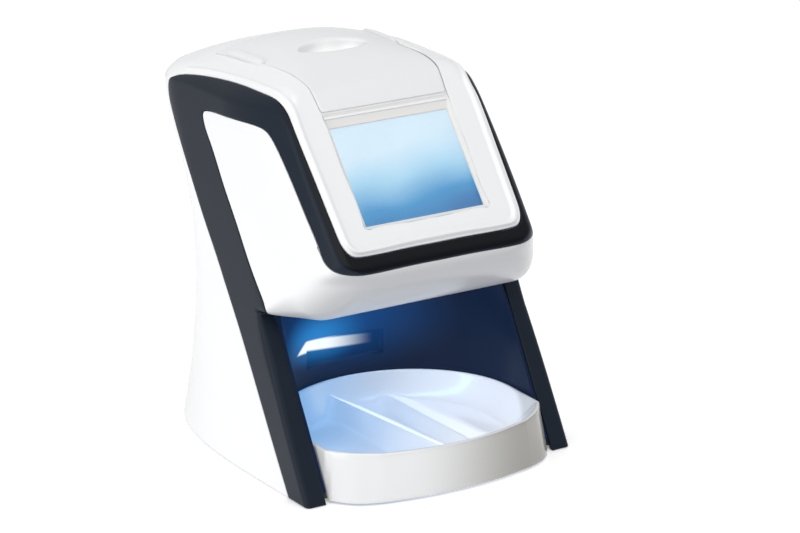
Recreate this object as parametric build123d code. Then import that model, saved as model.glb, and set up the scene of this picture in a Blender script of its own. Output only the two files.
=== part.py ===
"""Desktop scanner for phosphor imaging plates.

Frame: millimetres, +Z up, the receiving tray faces -Y, and the origin lies on the table
under the middle of the case's outline.
"""
from build123d import *
import math
import os

# Driving sizes of the case
CASE_WIDTH = 150.0
CASE_DEPTH = 193.0
CASE_HEIGHT = 193.5
FOOT_GAP = 0.8
WALL = 2.5
SEAM = 0.3

# Outer form of the case: it is widest along a leaning line and draws in ahead of it and above
LEG_FRONT = -77.0
LEG_LEAN_share = 0.565
LEG_TOP = 83.2
HEAD_DRAW = 16.42
DRAW_POWER = 2.2
CORNER_ACROSS = 2.6
CORNER_ALONG = 4.5
NOSE_DRAW_share = 0.225
NOSE_REACH = 60.0
SECTION_REACH = 74.0
FLANK_LENGTH = 37.0
DOME_RADIUS = 105.0
DOME_FALL_Y = 48.0
SHOULDER_DROP = 2.5
SHOULDER_RADIUS = 170.0
SHOULDER_FALL_Y = 60.0
CROWN_FALL = 12.1

# Screen panel and the nose below it
PANEL_MID_Y = -48.0
PANEL_MID_Z = 148.0
PANEL_TILT = 38.9
PANEL_HALF_WIDTH = 51.0
PANEL_DROP = 40.0
PANEL_RISE = 33.0
CHIN_Z = 110.5
PANEL_TOP_Z = 176.0
SCREEN_WIDTH = 66.0
SCREEN_HEIGHT = 51.0
BEVEL_SIDE = 2.0
BEVEL_TOP = 7.0
BEVEL_DEPTH = 1.6
GLASS_MARGIN = 3.0
GLASS_THICKNESS = 1.2
MODULE_MARGIN = 4.5
MODULE_THICKNESS = 6.0

# Receiving chamber and its liner
CHAMBER_HALF_WIDTH = 64.0
LINER_WALL = 1.5
LINER_MID_Y = -43.0
LINER_REACH = 57.0
LINER_SETBACK = 1.0
EXIT_LOW = 33.0
EXIT_HIGH = 46.0
LAMP_HALF_LENGTH = 34.0
LAMP_WIDTH = 9.0
LAMP_THICKNESS = 3.5
LAMP_Y = -10.0

# Receiving tray
TRAY_GAP = 0.5
TRAY_TOP = 24.5
TRAY_SKIRT = 1.2
TRAY_FRONT = -96.5
TRAY_SHOULDER_X = 42.0
TRAY_SHOULDER_SET = 5.5
TRAY_CORNER_X = 54.5
TRAY_CORNER_SET = 11.5
TRAY_CORNER_END = 21.0
TRAY_RIM = 3.0
TRAY_FRONT_RIM = 2.2
DISH_DEPTH = 14.0
DISH_SLOPE = 9.0
RIDGE_X = 12.0
RIDGE_HALF_WIDTH = 7.0
RIDGE_HEIGHT = 9.5

# Base plate and feet
BASE_Z = 2.0
BASE_THICKNESS = 3.0
FOOT_RADIUS = 6.0
FOOT_FRONT = (54.0, -52.0)
FOOT_BACK = (44.0, 66.0)

# Removable top cover with its tabs and the plate entry
COVER_HALF_FRONT = 35.3
COVER_HALF_MIDDLE = 37.2
COVER_HALF_REAR = 40.5
COVER_REAR_Y = 62.0
COVER_ZONE_Z = 168.0
TAB_LENGTH = 30.0
TAB_MID_Y = 38.0
TAB_WIDTH = 5.0
TAB_RISE = 2.5
ENTRY_Y = 19.0
ENTRY_HALF_LENGTH = 19.0
ENTRY_HALF_WIDTH = 9.0
FUNNEL_TOP = 188.2
FUNNEL_FLARE = 9.0
SLOT_GAP = 5.0
SLOT_HALF_LENGTH = 17.0
GUIDE_WALL = 1.5
CHUTE_LOW = 135.0

# Chassis that carries the transport
CHASSIS_HALF = 30.0
CHASSIS_PLATE = 2.0
CHASSIS_BACK = 50.0
CHASSIS_FRONT_LOW = 18.5
CHASSIS_FRONT_HIGH = 3.0
CHASSIS_STEP_Z = 90.0
CHASSIS_TOP_Z = 160.0
CHASSIS_FLOOR = 2.0

# Two nips of rollers, driven by one motor and belt
NIP_GAP = 0.4
ROLLER_RADIUS = 6.0
ROLLER_HALF_LENGTH = 22.0
SHAFT_RADIUS = 2.0
SHAFT_FIT = 0.05
SHAFT_OVERHANG = 3.0
BUSH_RADIUS = 4.0
BUSH_FLANGE_RADIUS = 5.0
BUSH_FLANGE = 1.0
UPPER_NIP_Z = 127.0
LOWER_NIP_Z = 99.0
PULLEY_START = 33.5
PULLEY_RADIUS = 8.0
MOTOR_PULLEY_RADIUS = 5.0
PULLEY_WIDTH = 6.0
PULLEY_FLANGE = 1.0
PULLEY_LIP = 1.8
BELT_THICKNESS = 1.2
BELT_GAP = 0.2
MOTOR_Y = 38.0
MOTOR_Z = 70.0
MOTOR_SIZE = 20.0
MOTOR_LENGTH = 22.0
MOTOR_SHAFT_RADIUS = 1.5

# Reading optics
SCAN_Z = 112.5
MIRROR_Y = -12.0
MIRROR_SIZE = 9.0
MIRROR_THICKNESS = 1.2
MIRROR_PIN_RADIUS = 1.0
SCANNER_RADIUS = 5.0
SCANNER_HEIGHT = 8.0
LASER_RADIUS = 4.0
LASER_LENGTH = 17.0
LASER_GAP = 9.0
BENCH_Z = 95.0
BENCH_THICKNESS = 2.0
BENCH_HALF = 27.0
BENCH_FRONT = -30.0
BENCH_BACK = 1.0
BENCH_POST_RADIUS = 3.0
BENCH_POST_INSET = 5.0
GUIDE_BAR_LOW = 114.5
GUIDE_BAR_HIGH = 120.0
GUIDE_BAR_FRONT = 6.0
GUIDE_BAR_BACK = 16.5
DETECTOR_RADIUS = 7.0
DETECTOR_LENGTH = 18.0

# Exit guide and eraser behind the chamber
EXIT_GUIDE_HALF = 22.0
EXIT_GUIDE_TOP = 91.0
EXIT_GUIDE_SIDE = 1.5
EXIT_GUIDE_FRONT = 1.0
EXIT_FRONT_Y = 15.8
EXIT_FRONT_LOW = 50.0
RAMP_REACH = 9.0
RAMP_THICKNESS = 1.5
ERASER_HALF = 20.0
ERASER_LOW = 52.0
ERASER_HIGH = 64.0
BOARD_THICKNESS = 1.6

# Boards and rear connections
MAIN_BOARD_X = -57.0
MAIN_BOARD_FRONT = -8.0
MAIN_BOARD_BACK = 44.0
MAIN_BOARD_LOW = 97.0
MAIN_BOARD_HIGH = 157.0
POST_RADIUS = 2.5
POST_INSET = 5.0
POWER_BOARD_HALF = 42.0
POWER_BOARD_FRONT = 52.5
POWER_BOARD_BACK = 68.0
POWER_BOARD_Z = 9.0
PORT_HALF_WIDTH = 34.0
PORT_LOW = 12.0
PORT_HIGH = 36.0
PORT_PLATE_Y = 70.0
PORT_WALL = 2.0
INLET_X = -24.0
INLET_RADIUS = 5.0
INLET_BORE = 2.8
INLET_LENGTH = 7.0
INLET_BORE_DEPTH = 9.0
SOCKET_X = -6.0
SOCKET_SIZE = (16.0, 6.0, 14.0)
SOCKET_CAVITY = (11.7, 10.0, 8.0)
SOCKET_BODY = 13.0
USB_X = 10.0
USB_SIZE = (9.0, 4.0, 8.0)
BUTTON_X = 24.0
BUTTON_RADIUS = 4.0
BUTTON_GAP = 0.3
BUTTON_PROUD = 2.5
BUTTON_TRAVEL = 1.5
PORT_Z = 24.0

# Screws
SCREW_RADIUS = 1.4
SCREW_HEAD_RADIUS = 2.8
SCREW_HEAD = 1.1
BASE_SCREW_FRONT = (66.0, -40.0)
BASE_SCREW_BACK = (56.0, 44.0)
CHASSIS_SCREW_INSET = 6.0

# Rear wall: height, reach and squareness of the plan at each level
REAR_LEVEL_shares = (0.0, 0.161, 0.322, 0.474, 0.595, 0.696, 0.796, 0.897, 1.028)
REAR_REACH_shares = (1.0, 0.832, 0.705, 0.615, 0.598, 0.68, 0.845, 0.955, 0.97)
REAR_SQUARENESS = (3.0, 3.0, 3.0, 3.05, 3.2, 3.5, 3.8, 4.0, 4.0)
REAR_ANGLES = (28.0, 50.0, 66.0, 79.0)

# Side outline of the nose and the crown
BELLY_LENGTH_share = 0.14
BELLY_shares = ((0.35, 0.05), (0.68, 0.33), (0.93, 0.73))
TOP_shares = ((-0.207, 0.9437), (-0.104, 0.9664), (0.0, 0.9819), (0.104, 0.9917), (0.228, 0.999),
              (0.352, 1.0026), (0.497, 1.001), (0.622, 0.9886), (0.746, 0.9711), (0.86, 0.9457),
              (0.939, 0.892), (0.96, 0.8264))
BACK_REACH_share = 1.2
BACK_TURN_share = 0.756

# Edges of the dark side loops and of the white panel inside them
LOOP_REAR_shares = ((-0.617, 0.0), (-0.327, 0.2258), (-0.034, 0.4253), (0.12, 0.5168), (0.273, 0.5984),
                    (0.412, 0.6755), (0.558, 0.7509), (0.691, 0.8233))
LOOP_CORNER_shares = ((0.748, 0.8687), (0.74, 0.8925), (0.692, 0.9065))
LOOP_TOP_shares = ((0.632, 0.9147), (0.448, 0.9282), (0.282, 0.9349), (0.11, 0.938), (-0.038, 0.9364),
                   (-0.156, 0.9313), (-0.249, 0.9085))
WINDOW_REAR_shares = ((-0.378, 0.4083), (-0.368, 0.4367), (-0.347, 0.46), (-0.275, 0.4992), (-0.187, 0.5457),
                      (-0.049, 0.6233), (0.087, 0.6935), (0.252, 0.7819), (0.358, 0.8393))
WINDOW_TOP_shares = ((0.342, 0.8563), (0.207, 0.8625), (0.037, 0.8656), (-0.132, 0.8646))
WINDOW_FRONT_shares = ((-0.2, 0.8491), (-0.26, 0.8264), (-0.4, 0.7545), (-0.53, 0.6832), (-0.63, 0.6217),
                       (-0.69, 0.5876), (-0.76, 0.5716))

HALF_DEPTH = CASE_DEPTH / 2
BASE_HALF = CASE_WIDTH / 2
FAR = CASE_WIDTH + CASE_DEPTH
OVERRUN = 2.0
TILT = math.radians(PANEL_TILT)
PATH_Y = ENTRY_Y
BASE_TOP = BASE_Z + BASE_THICKNESS
PANEL = Plane(origin=(0, PANEL_MID_Y, PANEL_MID_Z), x_dir=(1, 0, 0),
              z_dir=(0, -math.cos(TILT), math.sin(TILT)))


def panel_y(z):
    """Depth of the screen panel's plane at height z."""
    return PANEL_MID_Y + (z - PANEL_MID_Z) * math.tan(TILT)


def half_width(z):
    """Greatest half width of the case at height z."""
    return BASE_HALF - HEAD_DRAW * (max(z, 0.0) / CASE_HEIGHT) ** DRAW_POWER


def leaning_line(z):
    """Depth of the widest line of the case, which is the front of the legs."""
    return LEG_FRONT + LEG_LEAN_share * z


def scaled(shares):
    """Points of the side view from shares of the half depth and the height."""
    return [(a * HALF_DEPTH, b * CASE_HEIGHT) for a, b in shares]


def outline_face(edges):
    """Face in the side view from edges drawn as (depth, height)."""
    return Plane.YZ * make_face(edges)


def side_polygon(*points):
    return outline_face(Polyline(*points, close=True).edges())


def across(face, low=-FAR, high=FAR):
    """Prism of a side-view face between two values of X."""
    return Pos(low, 0, 0) * extrude(face, amount=high - low, dir=(1, 0, 0))


def slab(low, high):
    """Box between two corners."""
    size = [b - a for a, b in zip(low, high)]
    middle = [(a + b) / 2 for a, b in zip(low, high)]
    return Pos(*middle) * Box(*size)


def rod(y, z, radius, low, high):
    """Cylinder along X."""
    return Pos((low + high) / 2, y, z) * Rot(0, 90, 0) * Cylinder(radius, high - low)


def post(x, y, radius, low, high):
    """Cylinder along Z."""
    return Pos(x, y, (low + high) / 2) * Cylinder(radius, high - low)


def pin(x, z, radius, low, high):
    """Cylinder along Y."""
    return Pos(x, (low + high) / 2, z) * Rot(90, 0, 0) * Cylinder(radius, high - low)


def plan_points(level, reach, square, inset):
    """Half outline of the case at one height, from the front to the middle of the back."""
    width = half_width(level) - inset
    line = leaning_line(level)
    steps = (-SECTION_REACH, -SECTION_REACH * 2 / 3, -SECTION_REACH / 3, 0.0)
    points = [(width * (1 - NOSE_DRAW_share * (step / NOSE_REACH) ** 2), line + step) for step in steps]
    start = line + FLANK_LENGTH
    length = reach - inset - start
    points.append((width, start))
    for angle in REAR_ANGLES:
        turn = math.radians(angle)
        sideways = width * math.cos(turn) ** (2 / square)
        along = length * math.sin(turn) ** (2 / square)
        points.append((sideways, start + along))
    points.append((0.0, reach - inset))
    return points


def plan_section(level, reach, square, inset):
    """Closed plan outline of the case at one height."""
    half = plan_points(level, reach, square, inset)
    right = [Vector(x, y, level) for x, y in half]
    left = [Vector(-x, y, level) for x, y in reversed(half[:-1])]
    side = Edge.make_spline(right + left)
    front = Edge.make_line(left[-1], right[0])
    return Wire([side, front])


def case_outline(inset):
    """Side outline of the case, moved inward by an inset."""
    shift = inset / math.cos(TILT)
    chin = (panel_y(CHIN_Z + inset) + shift, CHIN_Z + inset)
    belly_start = (LEG_FRONT + CASE_DEPTH * BELLY_LENGTH_share, LEG_TOP + inset)
    reach = belly_start[0] - chin[0]
    rise = chin[1] - belly_start[1]
    belly = [(belly_start[0] - a * reach, belly_start[1] + b * rise) for a, b in BELLY_shares]
    brow = (panel_y(PANEL_TOP_Z - inset) + shift, PANEL_TOP_Z - inset)
    top = [(y - (inset if z < y + HALF_DEPTH else 0), z - inset) for y, z in scaled(TOP_shares)]
    low = FOOT_GAP - (FAR if inset else 0)
    leg_shift = inset * math.hypot(1, LEG_LEAN_share)
    knee = (leaning_line(LEG_TOP + inset) + leg_shift, LEG_TOP + inset)
    toe = (leaning_line(low) + leg_shift, low)
    lines = Polyline(toe, knee, belly_start)
    nose = Spline(belly_start, *belly, chin)
    face = Line(chin, brow)
    roof = Spline(brow, *top)
    reach_back = HALF_DEPTH * BACK_REACH_share
    back = Polyline(top[-1], (reach_back, CASE_HEIGHT * BACK_TURN_share), (reach_back, low), toe)
    return outline_face([*lines.edges(), nose, face, roof, *back.edges()])


def leg_corner(inset):
    """Space outside the rounded front corner of the left leg."""
    shift = inset * math.hypot(1, LEG_LEAN_share)
    sections = []
    for z in (-OVERRUN, LEG_TOP / 2, LEG_TOP + inset):
        x = half_width(z) - inset
        y = leaning_line(z) + shift
        start, end = (x - CORNER_ACROSS, y), (x, y + CORNER_ALONG)
        bow = (x - CORNER_ACROSS * (1 - math.sqrt(0.5)), y + CORNER_ALONG * (1 - math.sqrt(0.5)))
        out = x + CORNER_ACROSS
        ahead = y - CORNER_ALONG
        points = [(-a, b) for a, b in (end, (out, end[1]), (out, ahead), (start[0], ahead), start)]
        arc = ThreePointArc(points[-1], (-bow[0], bow[1]), points[0])
        sections.append(Pos(0, 0, z) * make_face([arc, *Polyline(*points).edges()]))
    return loft(sections)


def crown_round(top, radius, fall_y):
    """Space below a crown that is round across and falls away at the back."""
    level = pin(0, top - radius, radius, -FAR, FAR)
    fall_axis = top - radius / math.cos(math.radians(CROWN_FALL))
    falling = Pos(0, fall_y, fall_axis) * Rot(-CROWN_FALL, 0, 0) * pin(0, 0, radius, -FAR, FAR)
    return level & falling


def case_master(inset):
    """Solid of the case's outer form, or of its inside at the wall's thickness."""
    levels = [share * CASE_HEIGHT for share in REAR_LEVEL_shares]
    reaches = [share * HALF_DEPTH for share in REAR_REACH_shares]
    sections = [plan_section(*row, inset) for row in zip(levels, reaches, REAR_SQUARENESS)]
    body = Solid.make_loft(sections)
    crown = (crown_round(CASE_HEIGHT - inset, DOME_RADIUS, DOME_FALL_Y)
             + crown_round(CASE_HEIGHT - SHOULDER_DROP - inset, SHOULDER_RADIUS, SHOULDER_FALL_Y))
    corner = leg_corner(inset)
    return (body & across(case_outline(inset)) & crown) - corner - mirror(corner, about=Plane.YZ)


def loop_region():
    """Side view of everything inside the dark loop's outer edge."""
    rear = scaled(LOOP_REAR_shares)
    corner = scaled(LOOP_CORNER_shares)
    top = scaled(LOOP_TOP_shares)
    reach = -HALF_DEPTH * BACK_REACH_share
    front = [(reach, top[-1][1]), (reach, -FOOT_GAP), (rear[0][0], -FOOT_GAP)]
    edges = [Spline(*rear), Spline(rear[-1], *corner, top[0]), Spline(*top)]
    closing = Polyline(top[-1], *front, rear[0])
    return outline_face([*edges, *closing.edges()])


def window_region():
    """Side view of the white panel inside the loop and of the nose under the screen."""
    rear = scaled(WINDOW_REAR_shares)
    top = scaled(WINDOW_TOP_shares)
    front = scaled(WINDOW_FRONT_shares)
    edges = [Spline(*rear), Line(rear[-1], top[0]), Spline(*top), Spline(top[-1], *front)]
    low = LEG_TOP - OVERRUN
    reach = -HALF_DEPTH * BACK_REACH_share
    rest = [(reach, front[-1][1]), (reach, low), (rear[0][0], low)]
    closing = Polyline(front[-1], *rest, rear[0])
    return outline_face([*edges, *closing.edges()])


def cover_front():
    """Depth of the seam between the screen panel and the cover."""
    return PANEL_MID_Y + PANEL_RISE * math.sin(TILT)


def cover_hole(gap):
    """Space that the top cover takes between its side seams."""
    front = cover_front() + gap
    tab_start = TAB_MID_Y - TAB_LENGTH / 2 + gap
    half = [(COVER_HALF_FRONT - gap, front), (COVER_HALF_MIDDLE - gap, tab_start),
            (COVER_HALF_REAR - gap, tab_start), (COVER_HALF_REAR - gap, COVER_REAR_Y - gap)]
    points = half + [(-x, y) for x, y in reversed(half)]
    outline = make_face(Polyline(*points, close=True).edges())
    return Pos(0, 0, COVER_ZONE_Z) * extrude(outline, amount=FAR)


def screen_opening():
    """Bevelled hole through the screen panel."""
    high = SCREEN_HEIGHT / 2 + BEVEL_TOP
    low = SCREEN_HEIGHT / 2 + BEVEL_SIDE
    width = SCREEN_WIDTH + 2 * BEVEL_SIDE
    rim = Pos(0, (high - low) / 2, 0) * Rectangle(width, high + low)
    hole = Rectangle(SCREEN_WIDTH, SCREEN_HEIGHT)
    bevel = loft([PANEL * rim, PANEL * Pos(0, 0, -BEVEL_DEPTH) * hole])
    through = PANEL * Pos(0, 0, -FAR / 2) * extrude(hole, amount=FAR)
    near = slab((-FAR, -FAR, CHIN_Z), (FAR, PANEL_MID_Y / 3, FAR))
    return bevel + (through & near)


def pocket():
    """Space for the recessed connector panel in the back."""
    return slab((-PORT_HALF_WIDTH, PORT_PLATE_Y, PORT_LOW), (PORT_HALF_WIDTH, FAR, PORT_HIGH))


def top_cover(shell, outer, inner):
    """Curved lid with two finger tabs and an oval entry for the plates."""
    cover = shell & cover_hole(SEAM)
    raised = Pos(0, 0, TAB_RISE) * outer - inner
    for side in (-1, 1):
        edge = COVER_HALF_REAR - SEAM
        xs = sorted((side * edge, side * (edge - TAB_WIDTH)))
        tab = slab((xs[0], TAB_MID_Y - TAB_LENGTH / 2, COVER_ZONE_Z), (xs[1], TAB_MID_Y + TAB_LENGTH / 2, FAR))
        cover += raised & tab
    entry = Pos(0, ENTRY_Y, COVER_ZONE_Z) * extrude(
        Ellipse(ENTRY_HALF_LENGTH, ENTRY_HALF_WIDTH), amount=FAR)
    return cover - entry


def case_parts():
    """Cut the case's wall into its moulded pieces along their seams."""
    outer = case_master(0.0)
    inner = case_master(WALL)
    shell = outer - inner
    loop = across(loop_region())
    window = across(window_region())
    split_z = CHIN_Z - OVERRUN
    panel_low = PANEL_MID_Z - PANEL_DROP * math.cos(TILT)
    side_low = slab((-FAR, -FAR, -FAR), (-CHAMBER_HALF_WIDTH, FAR, split_z))
    side_high = slab((-FAR, -FAR, split_z), (-PANEL_HALF_WIDTH, FAR, FAR))
    band_left = shell & (loop - window) & (side_low + side_high)
    hood = (shell & window) - slab((-FAR, -FAR, -FAR), (FAR, FAR, LEG_TOP - SEAM))
    chin_block = slab((-PANEL_HALF_WIDTH, -FAR, split_z), (PANEL_HALF_WIDTH, LEG_FRONT / 2, panel_low))
    chin = shell & (loop - window) & chin_block
    top_block = slab((-FAR, -FAR, COVER_ZONE_Z), (FAR, COVER_REAR_Y, FAR)) - loop
    face_block = slab((-PANEL_HALF_WIDTH, -FAR, panel_low), (PANEL_HALF_WIDTH, cover_front() / 2, FAR))
    frame = (shell & (top_block + face_block)) - cover_hole(0.0) - screen_opening()
    rear_block = slab((-FAR, -FAR, -FAR), (FAR, FAR, FAR)) - loop - top_block
    rear = (shell & rear_block) - pocket()
    pieces = {"side_band_left": band_left, "side_band_right": mirror(band_left, about=Plane.YZ),
              "lower_hood": hood, "chin_band": chin, "front_frame": frame,
              "top_cover": top_cover(shell, outer, inner), "rear_housing": rear}
    return pieces, outer, inner


def chamber_plan(half, reach):
    """Plan of the receiving chamber: straight sides and a rounded back."""
    oval = Pos(0, LINER_MID_Y) * Ellipse(half, reach)
    sides = Pos(0, LINER_MID_Y - FAR / 2) * Rectangle(2 * half, FAR)
    return oval + sides


def chamber_liner():
    """Glossy duct that the plates drop into."""
    top = LEG_TOP - SEAM
    outside = Pos(0, 0, BASE_TOP) * extrude(
        chamber_plan(CHAMBER_HALF_WIDTH, LINER_REACH + LINER_WALL), amount=top - BASE_TOP)
    inside = Pos(0, 0, BASE_TOP) * extrude(
        chamber_plan(CHAMBER_HALF_WIDTH - LINER_WALL, LINER_REACH), amount=top - LINER_WALL - BASE_TOP)
    back = side_polygon((leaning_line(0) + LINER_SETBACK, 0), (leaning_line(top) + LINER_SETBACK, top),
                        (FAR, top), (FAR, 0))
    window = slab((-EXIT_GUIDE_HALF - SEAM, LINER_MID_Y, EXIT_LOW), (EXIT_GUIDE_HALF + SEAM, FAR, EXIT_HIGH))
    return ((outside - inside) & across(back)) - window


def tray_plan():
    """Plan of the tray: bowed front, cut corners, and a back that follows the liner."""
    half = CHAMBER_HALF_WIDTH - LINER_WALL - TRAY_GAP
    shoulder = (TRAY_SHOULDER_X, TRAY_FRONT + TRAY_SHOULDER_SET)
    corner = (TRAY_CORNER_X, TRAY_FRONT + TRAY_CORNER_SET)
    end = (half, TRAY_FRONT + TRAY_CORNER_END)
    left = [(-x, y) for x, y in (shoulder, corner, end)]
    front = [ThreePointArc(left[2], left[1], left[0]), ThreePointArc(left[0], (0, TRAY_FRONT), shoulder),
             ThreePointArc(shoulder, corner, end)]
    sides = Polyline(end, (half, LINER_MID_Y), (-half, LINER_MID_Y), left[2])
    oval = Pos(0, LINER_MID_Y) * Ellipse(half, LINER_REACH - TRAY_GAP)
    return make_face([*front, *sides.edges()]) + (oval & Pos(0, LINER_MID_Y + FAR / 2) * Rectangle(FAR, FAR))


def receiving_tray():
    """Pull-out dish with a thin rim and two ridges on its floor."""
    plan = tray_plan()
    low = BASE_TOP + TRAY_GAP
    tray = Pos(0, 0, low) * extrude(plan, amount=TRAY_TOP - low)
    skirt = Pos(0, 0, TRAY_SKIRT) * extrude(plan, amount=low - TRAY_SKIRT)
    tray += skirt & slab((-FAR, -FAR, 0), (FAR, LEG_FRONT - TRAY_GAP, FAR))
    half = CHAMBER_HALF_WIDTH - LINER_WALL - TRAY_GAP - TRAY_RIM
    back = LINER_MID_Y + LINER_REACH - TRAY_GAP - TRAY_RIM
    front = TRAY_FRONT + TRAY_FRONT_RIM
    middle = (front + back) / 2
    reach = (back - front) / 2
    floor_z = TRAY_TOP - DISH_DEPTH
    rim = Pos(0, middle, TRAY_TOP) * Ellipse(half, reach)
    floor = Pos(0, middle, floor_z) * Ellipse(half - DISH_SLOPE, reach - DISH_SLOPE)
    dish = loft([floor, rim])
    tray -= dish
    profile = Plane.XZ * make_face(Polyline((-RIDGE_HALF_WIDTH, floor_z), (0, floor_z + RIDGE_HEIGHT),
                                            (RIDGE_HALF_WIDTH, floor_z), close=True).edges())
    for side in (-1, 1):
        ridge = Pos(side * RIDGE_X, FAR / 2, 0) * extrude(profile, amount=FAR)
        tray += ridge & dish
    return tray


def base_parts(inner):
    """Base plate, its feet and the screws that hold it."""
    plate = inner & slab((-FAR, -FAR, BASE_Z), (FAR, FAR, BASE_TOP))
    feet = []
    for x, y in (FOOT_FRONT, FOOT_BACK):
        feet += [post(side * x, y, FOOT_RADIUS, 0, BASE_Z) for side in (-1, 1)]
    screws = []
    for x, y in (BASE_SCREW_FRONT, BASE_SCREW_BACK):
        for side in (-1, 1):
            shank = post(side * x, y, SCREW_RADIUS, BASE_Z, BASE_TOP)
            plate -= shank
            screws.append(shank + post(side * x, y, SCREW_HEAD_RADIUS, BASE_Z - SCREW_HEAD, BASE_Z))
    for x, y in chassis_screw_places():
        plate -= post(x, y, SCREW_RADIUS, BASE_Z, BASE_TOP)
    return {"base_plate": plate, "feet": Compound(feet), "base_screws": Compound(screws)}


def display_parts():
    """Touch glass and display behind the screen panel."""
    behind = -WALL
    glass = Pos(0, 0, behind - GLASS_THICKNESS / 2) * Box(
        SCREEN_WIDTH + 2 * GLASS_MARGIN, SCREEN_HEIGHT + 2 * GLASS_MARGIN, GLASS_THICKNESS)
    depth = behind - GLASS_THICKNESS
    module = Pos(0, 0, depth - MODULE_THICKNESS / 2) * Box(
        SCREEN_WIDTH + 2 * MODULE_MARGIN, SCREEN_HEIGHT + 2 * MODULE_MARGIN, MODULE_THICKNESS)
    return {"touch_glass": PANEL * glass, "display_module": PANEL * module}


def drive_y():
    return PATH_Y + NIP_GAP / 2 + ROLLER_RADIUS


def pinch_y():
    return PATH_Y - NIP_GAP / 2 - ROLLER_RADIUS


def roller_axes():
    """Axis of each roller as (depth, height)."""
    return {"upper_drive": (drive_y(), UPPER_NIP_Z), "upper_pinch": (pinch_y(), UPPER_NIP_Z),
            "lower_drive": (drive_y(), LOWER_NIP_Z), "lower_pinch": (pinch_y(), LOWER_NIP_Z)}


def chassis_screw_places():
    xs = CHASSIS_HALF - CHASSIS_PLATE - CHASSIS_SCREW_INSET
    ys = (CHASSIS_FRONT_LOW + CHASSIS_SCREW_INSET, CHASSIS_BACK - CHASSIS_PLATE - CHASSIS_SCREW_INSET)
    return [(side * xs, y) for side in (-1, 1) for y in ys]


def chassis_parts():
    """Folded chassis: two side plates, a back web and a floor flange."""
    profile = side_polygon((CHASSIS_FRONT_LOW, BASE_TOP), (CHASSIS_BACK, BASE_TOP),
                           (CHASSIS_BACK, CHASSIS_TOP_Z), (CHASSIS_FRONT_HIGH, CHASSIS_TOP_Z),
                           (CHASSIS_FRONT_HIGH, CHASSIS_STEP_Z), (CHASSIS_FRONT_LOW, CHASSIS_STEP_Z))
    inside = CHASSIS_HALF - CHASSIS_PLATE
    plates = across(profile, -CHASSIS_HALF, CHASSIS_HALF) - across(profile, -inside, inside)
    web = slab((-inside, CHASSIS_BACK - CHASSIS_PLATE, BASE_TOP), (inside, CHASSIS_BACK, CHASSIS_TOP_Z))
    floor = slab((-inside, CHASSIS_FRONT_LOW, BASE_TOP), (inside, CHASSIS_BACK, BASE_TOP + CHASSIS_FLOOR))
    chassis = plates + web + floor
    for y, z in roller_axes().values():
        chassis -= rod(y, z, BUSH_RADIUS, -FAR, FAR)
    chassis -= rod(MOTOR_Y, MOTOR_Z, BUSH_RADIUS, 0, FAR)
    chassis -= slab((-FAR, GUIDE_BAR_FRONT - SEAM, GUIDE_BAR_LOW - SEAM),
                    (0, GUIDE_BAR_BACK + SEAM, GUIDE_BAR_HIGH + SEAM))
    screws = []
    floor_top = BASE_TOP + CHASSIS_FLOOR
    for x, y in chassis_screw_places():
        shank = post(x, y, SCREW_RADIUS, BASE_Z, floor_top)
        chassis -= shank
        screws.append(shank + post(x, y, SCREW_HEAD_RADIUS, floor_top, floor_top + SCREW_HEAD))
    bushes = []
    for y, z in roller_axes().values():
        for side in (-1, 1):
            seat = sorted((side * inside, side * CHASSIS_HALF))
            flange = sorted((side * inside, side * (inside - BUSH_FLANGE)))
            bush = rod(y, z, BUSH_RADIUS, *seat) + rod(y, z, BUSH_FLANGE_RADIUS, *flange)
            bushes.append(bush - rod(y, z, SHAFT_RADIUS + SHAFT_FIT, -FAR, FAR))
    return {"chassis": chassis, "chassis_screws": Compound(screws), "roller_bushes": Compound(bushes)}


def pulley(y, z, radius, bore):
    """Flanged belt pulley on a shaft."""
    start = PULLEY_START
    end = start + PULLEY_WIDTH + 2 * PULLEY_FLANGE
    drum = rod(y, z, radius, start, end)
    for low in (start, end - PULLEY_FLANGE):
        drum += rod(y, z, radius + PULLEY_LIP, low, low + PULLEY_FLANGE)
    return drum - rod(y, z, bore, 0, FAR)


def roller_parts():
    """Rubber sleeves on steel shafts, the two driven ones with a pulley."""
    pieces = {}
    pulley_end = PULLEY_START + PULLEY_WIDTH + 2 * PULLEY_FLANGE
    for name, (y, z) in roller_axes().items():
        driven = name.endswith("drive")
        end = pulley_end if driven else CHASSIS_HALF + SHAFT_OVERHANG
        pieces[f"{name}_shaft"] = rod(y, z, SHAFT_RADIUS, -CHASSIS_HALF - SHAFT_OVERHANG, end)
        sleeve = rod(y, z, ROLLER_RADIUS, -ROLLER_HALF_LENGTH, ROLLER_HALF_LENGTH)
        pieces[f"{name}_roller"] = sleeve - rod(y, z, SHAFT_RADIUS, -FAR, FAR)
        if driven:
            pieces[f"{name}_pulley"] = pulley(y, z, PULLEY_RADIUS, SHAFT_RADIUS)
    return pieces


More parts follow.
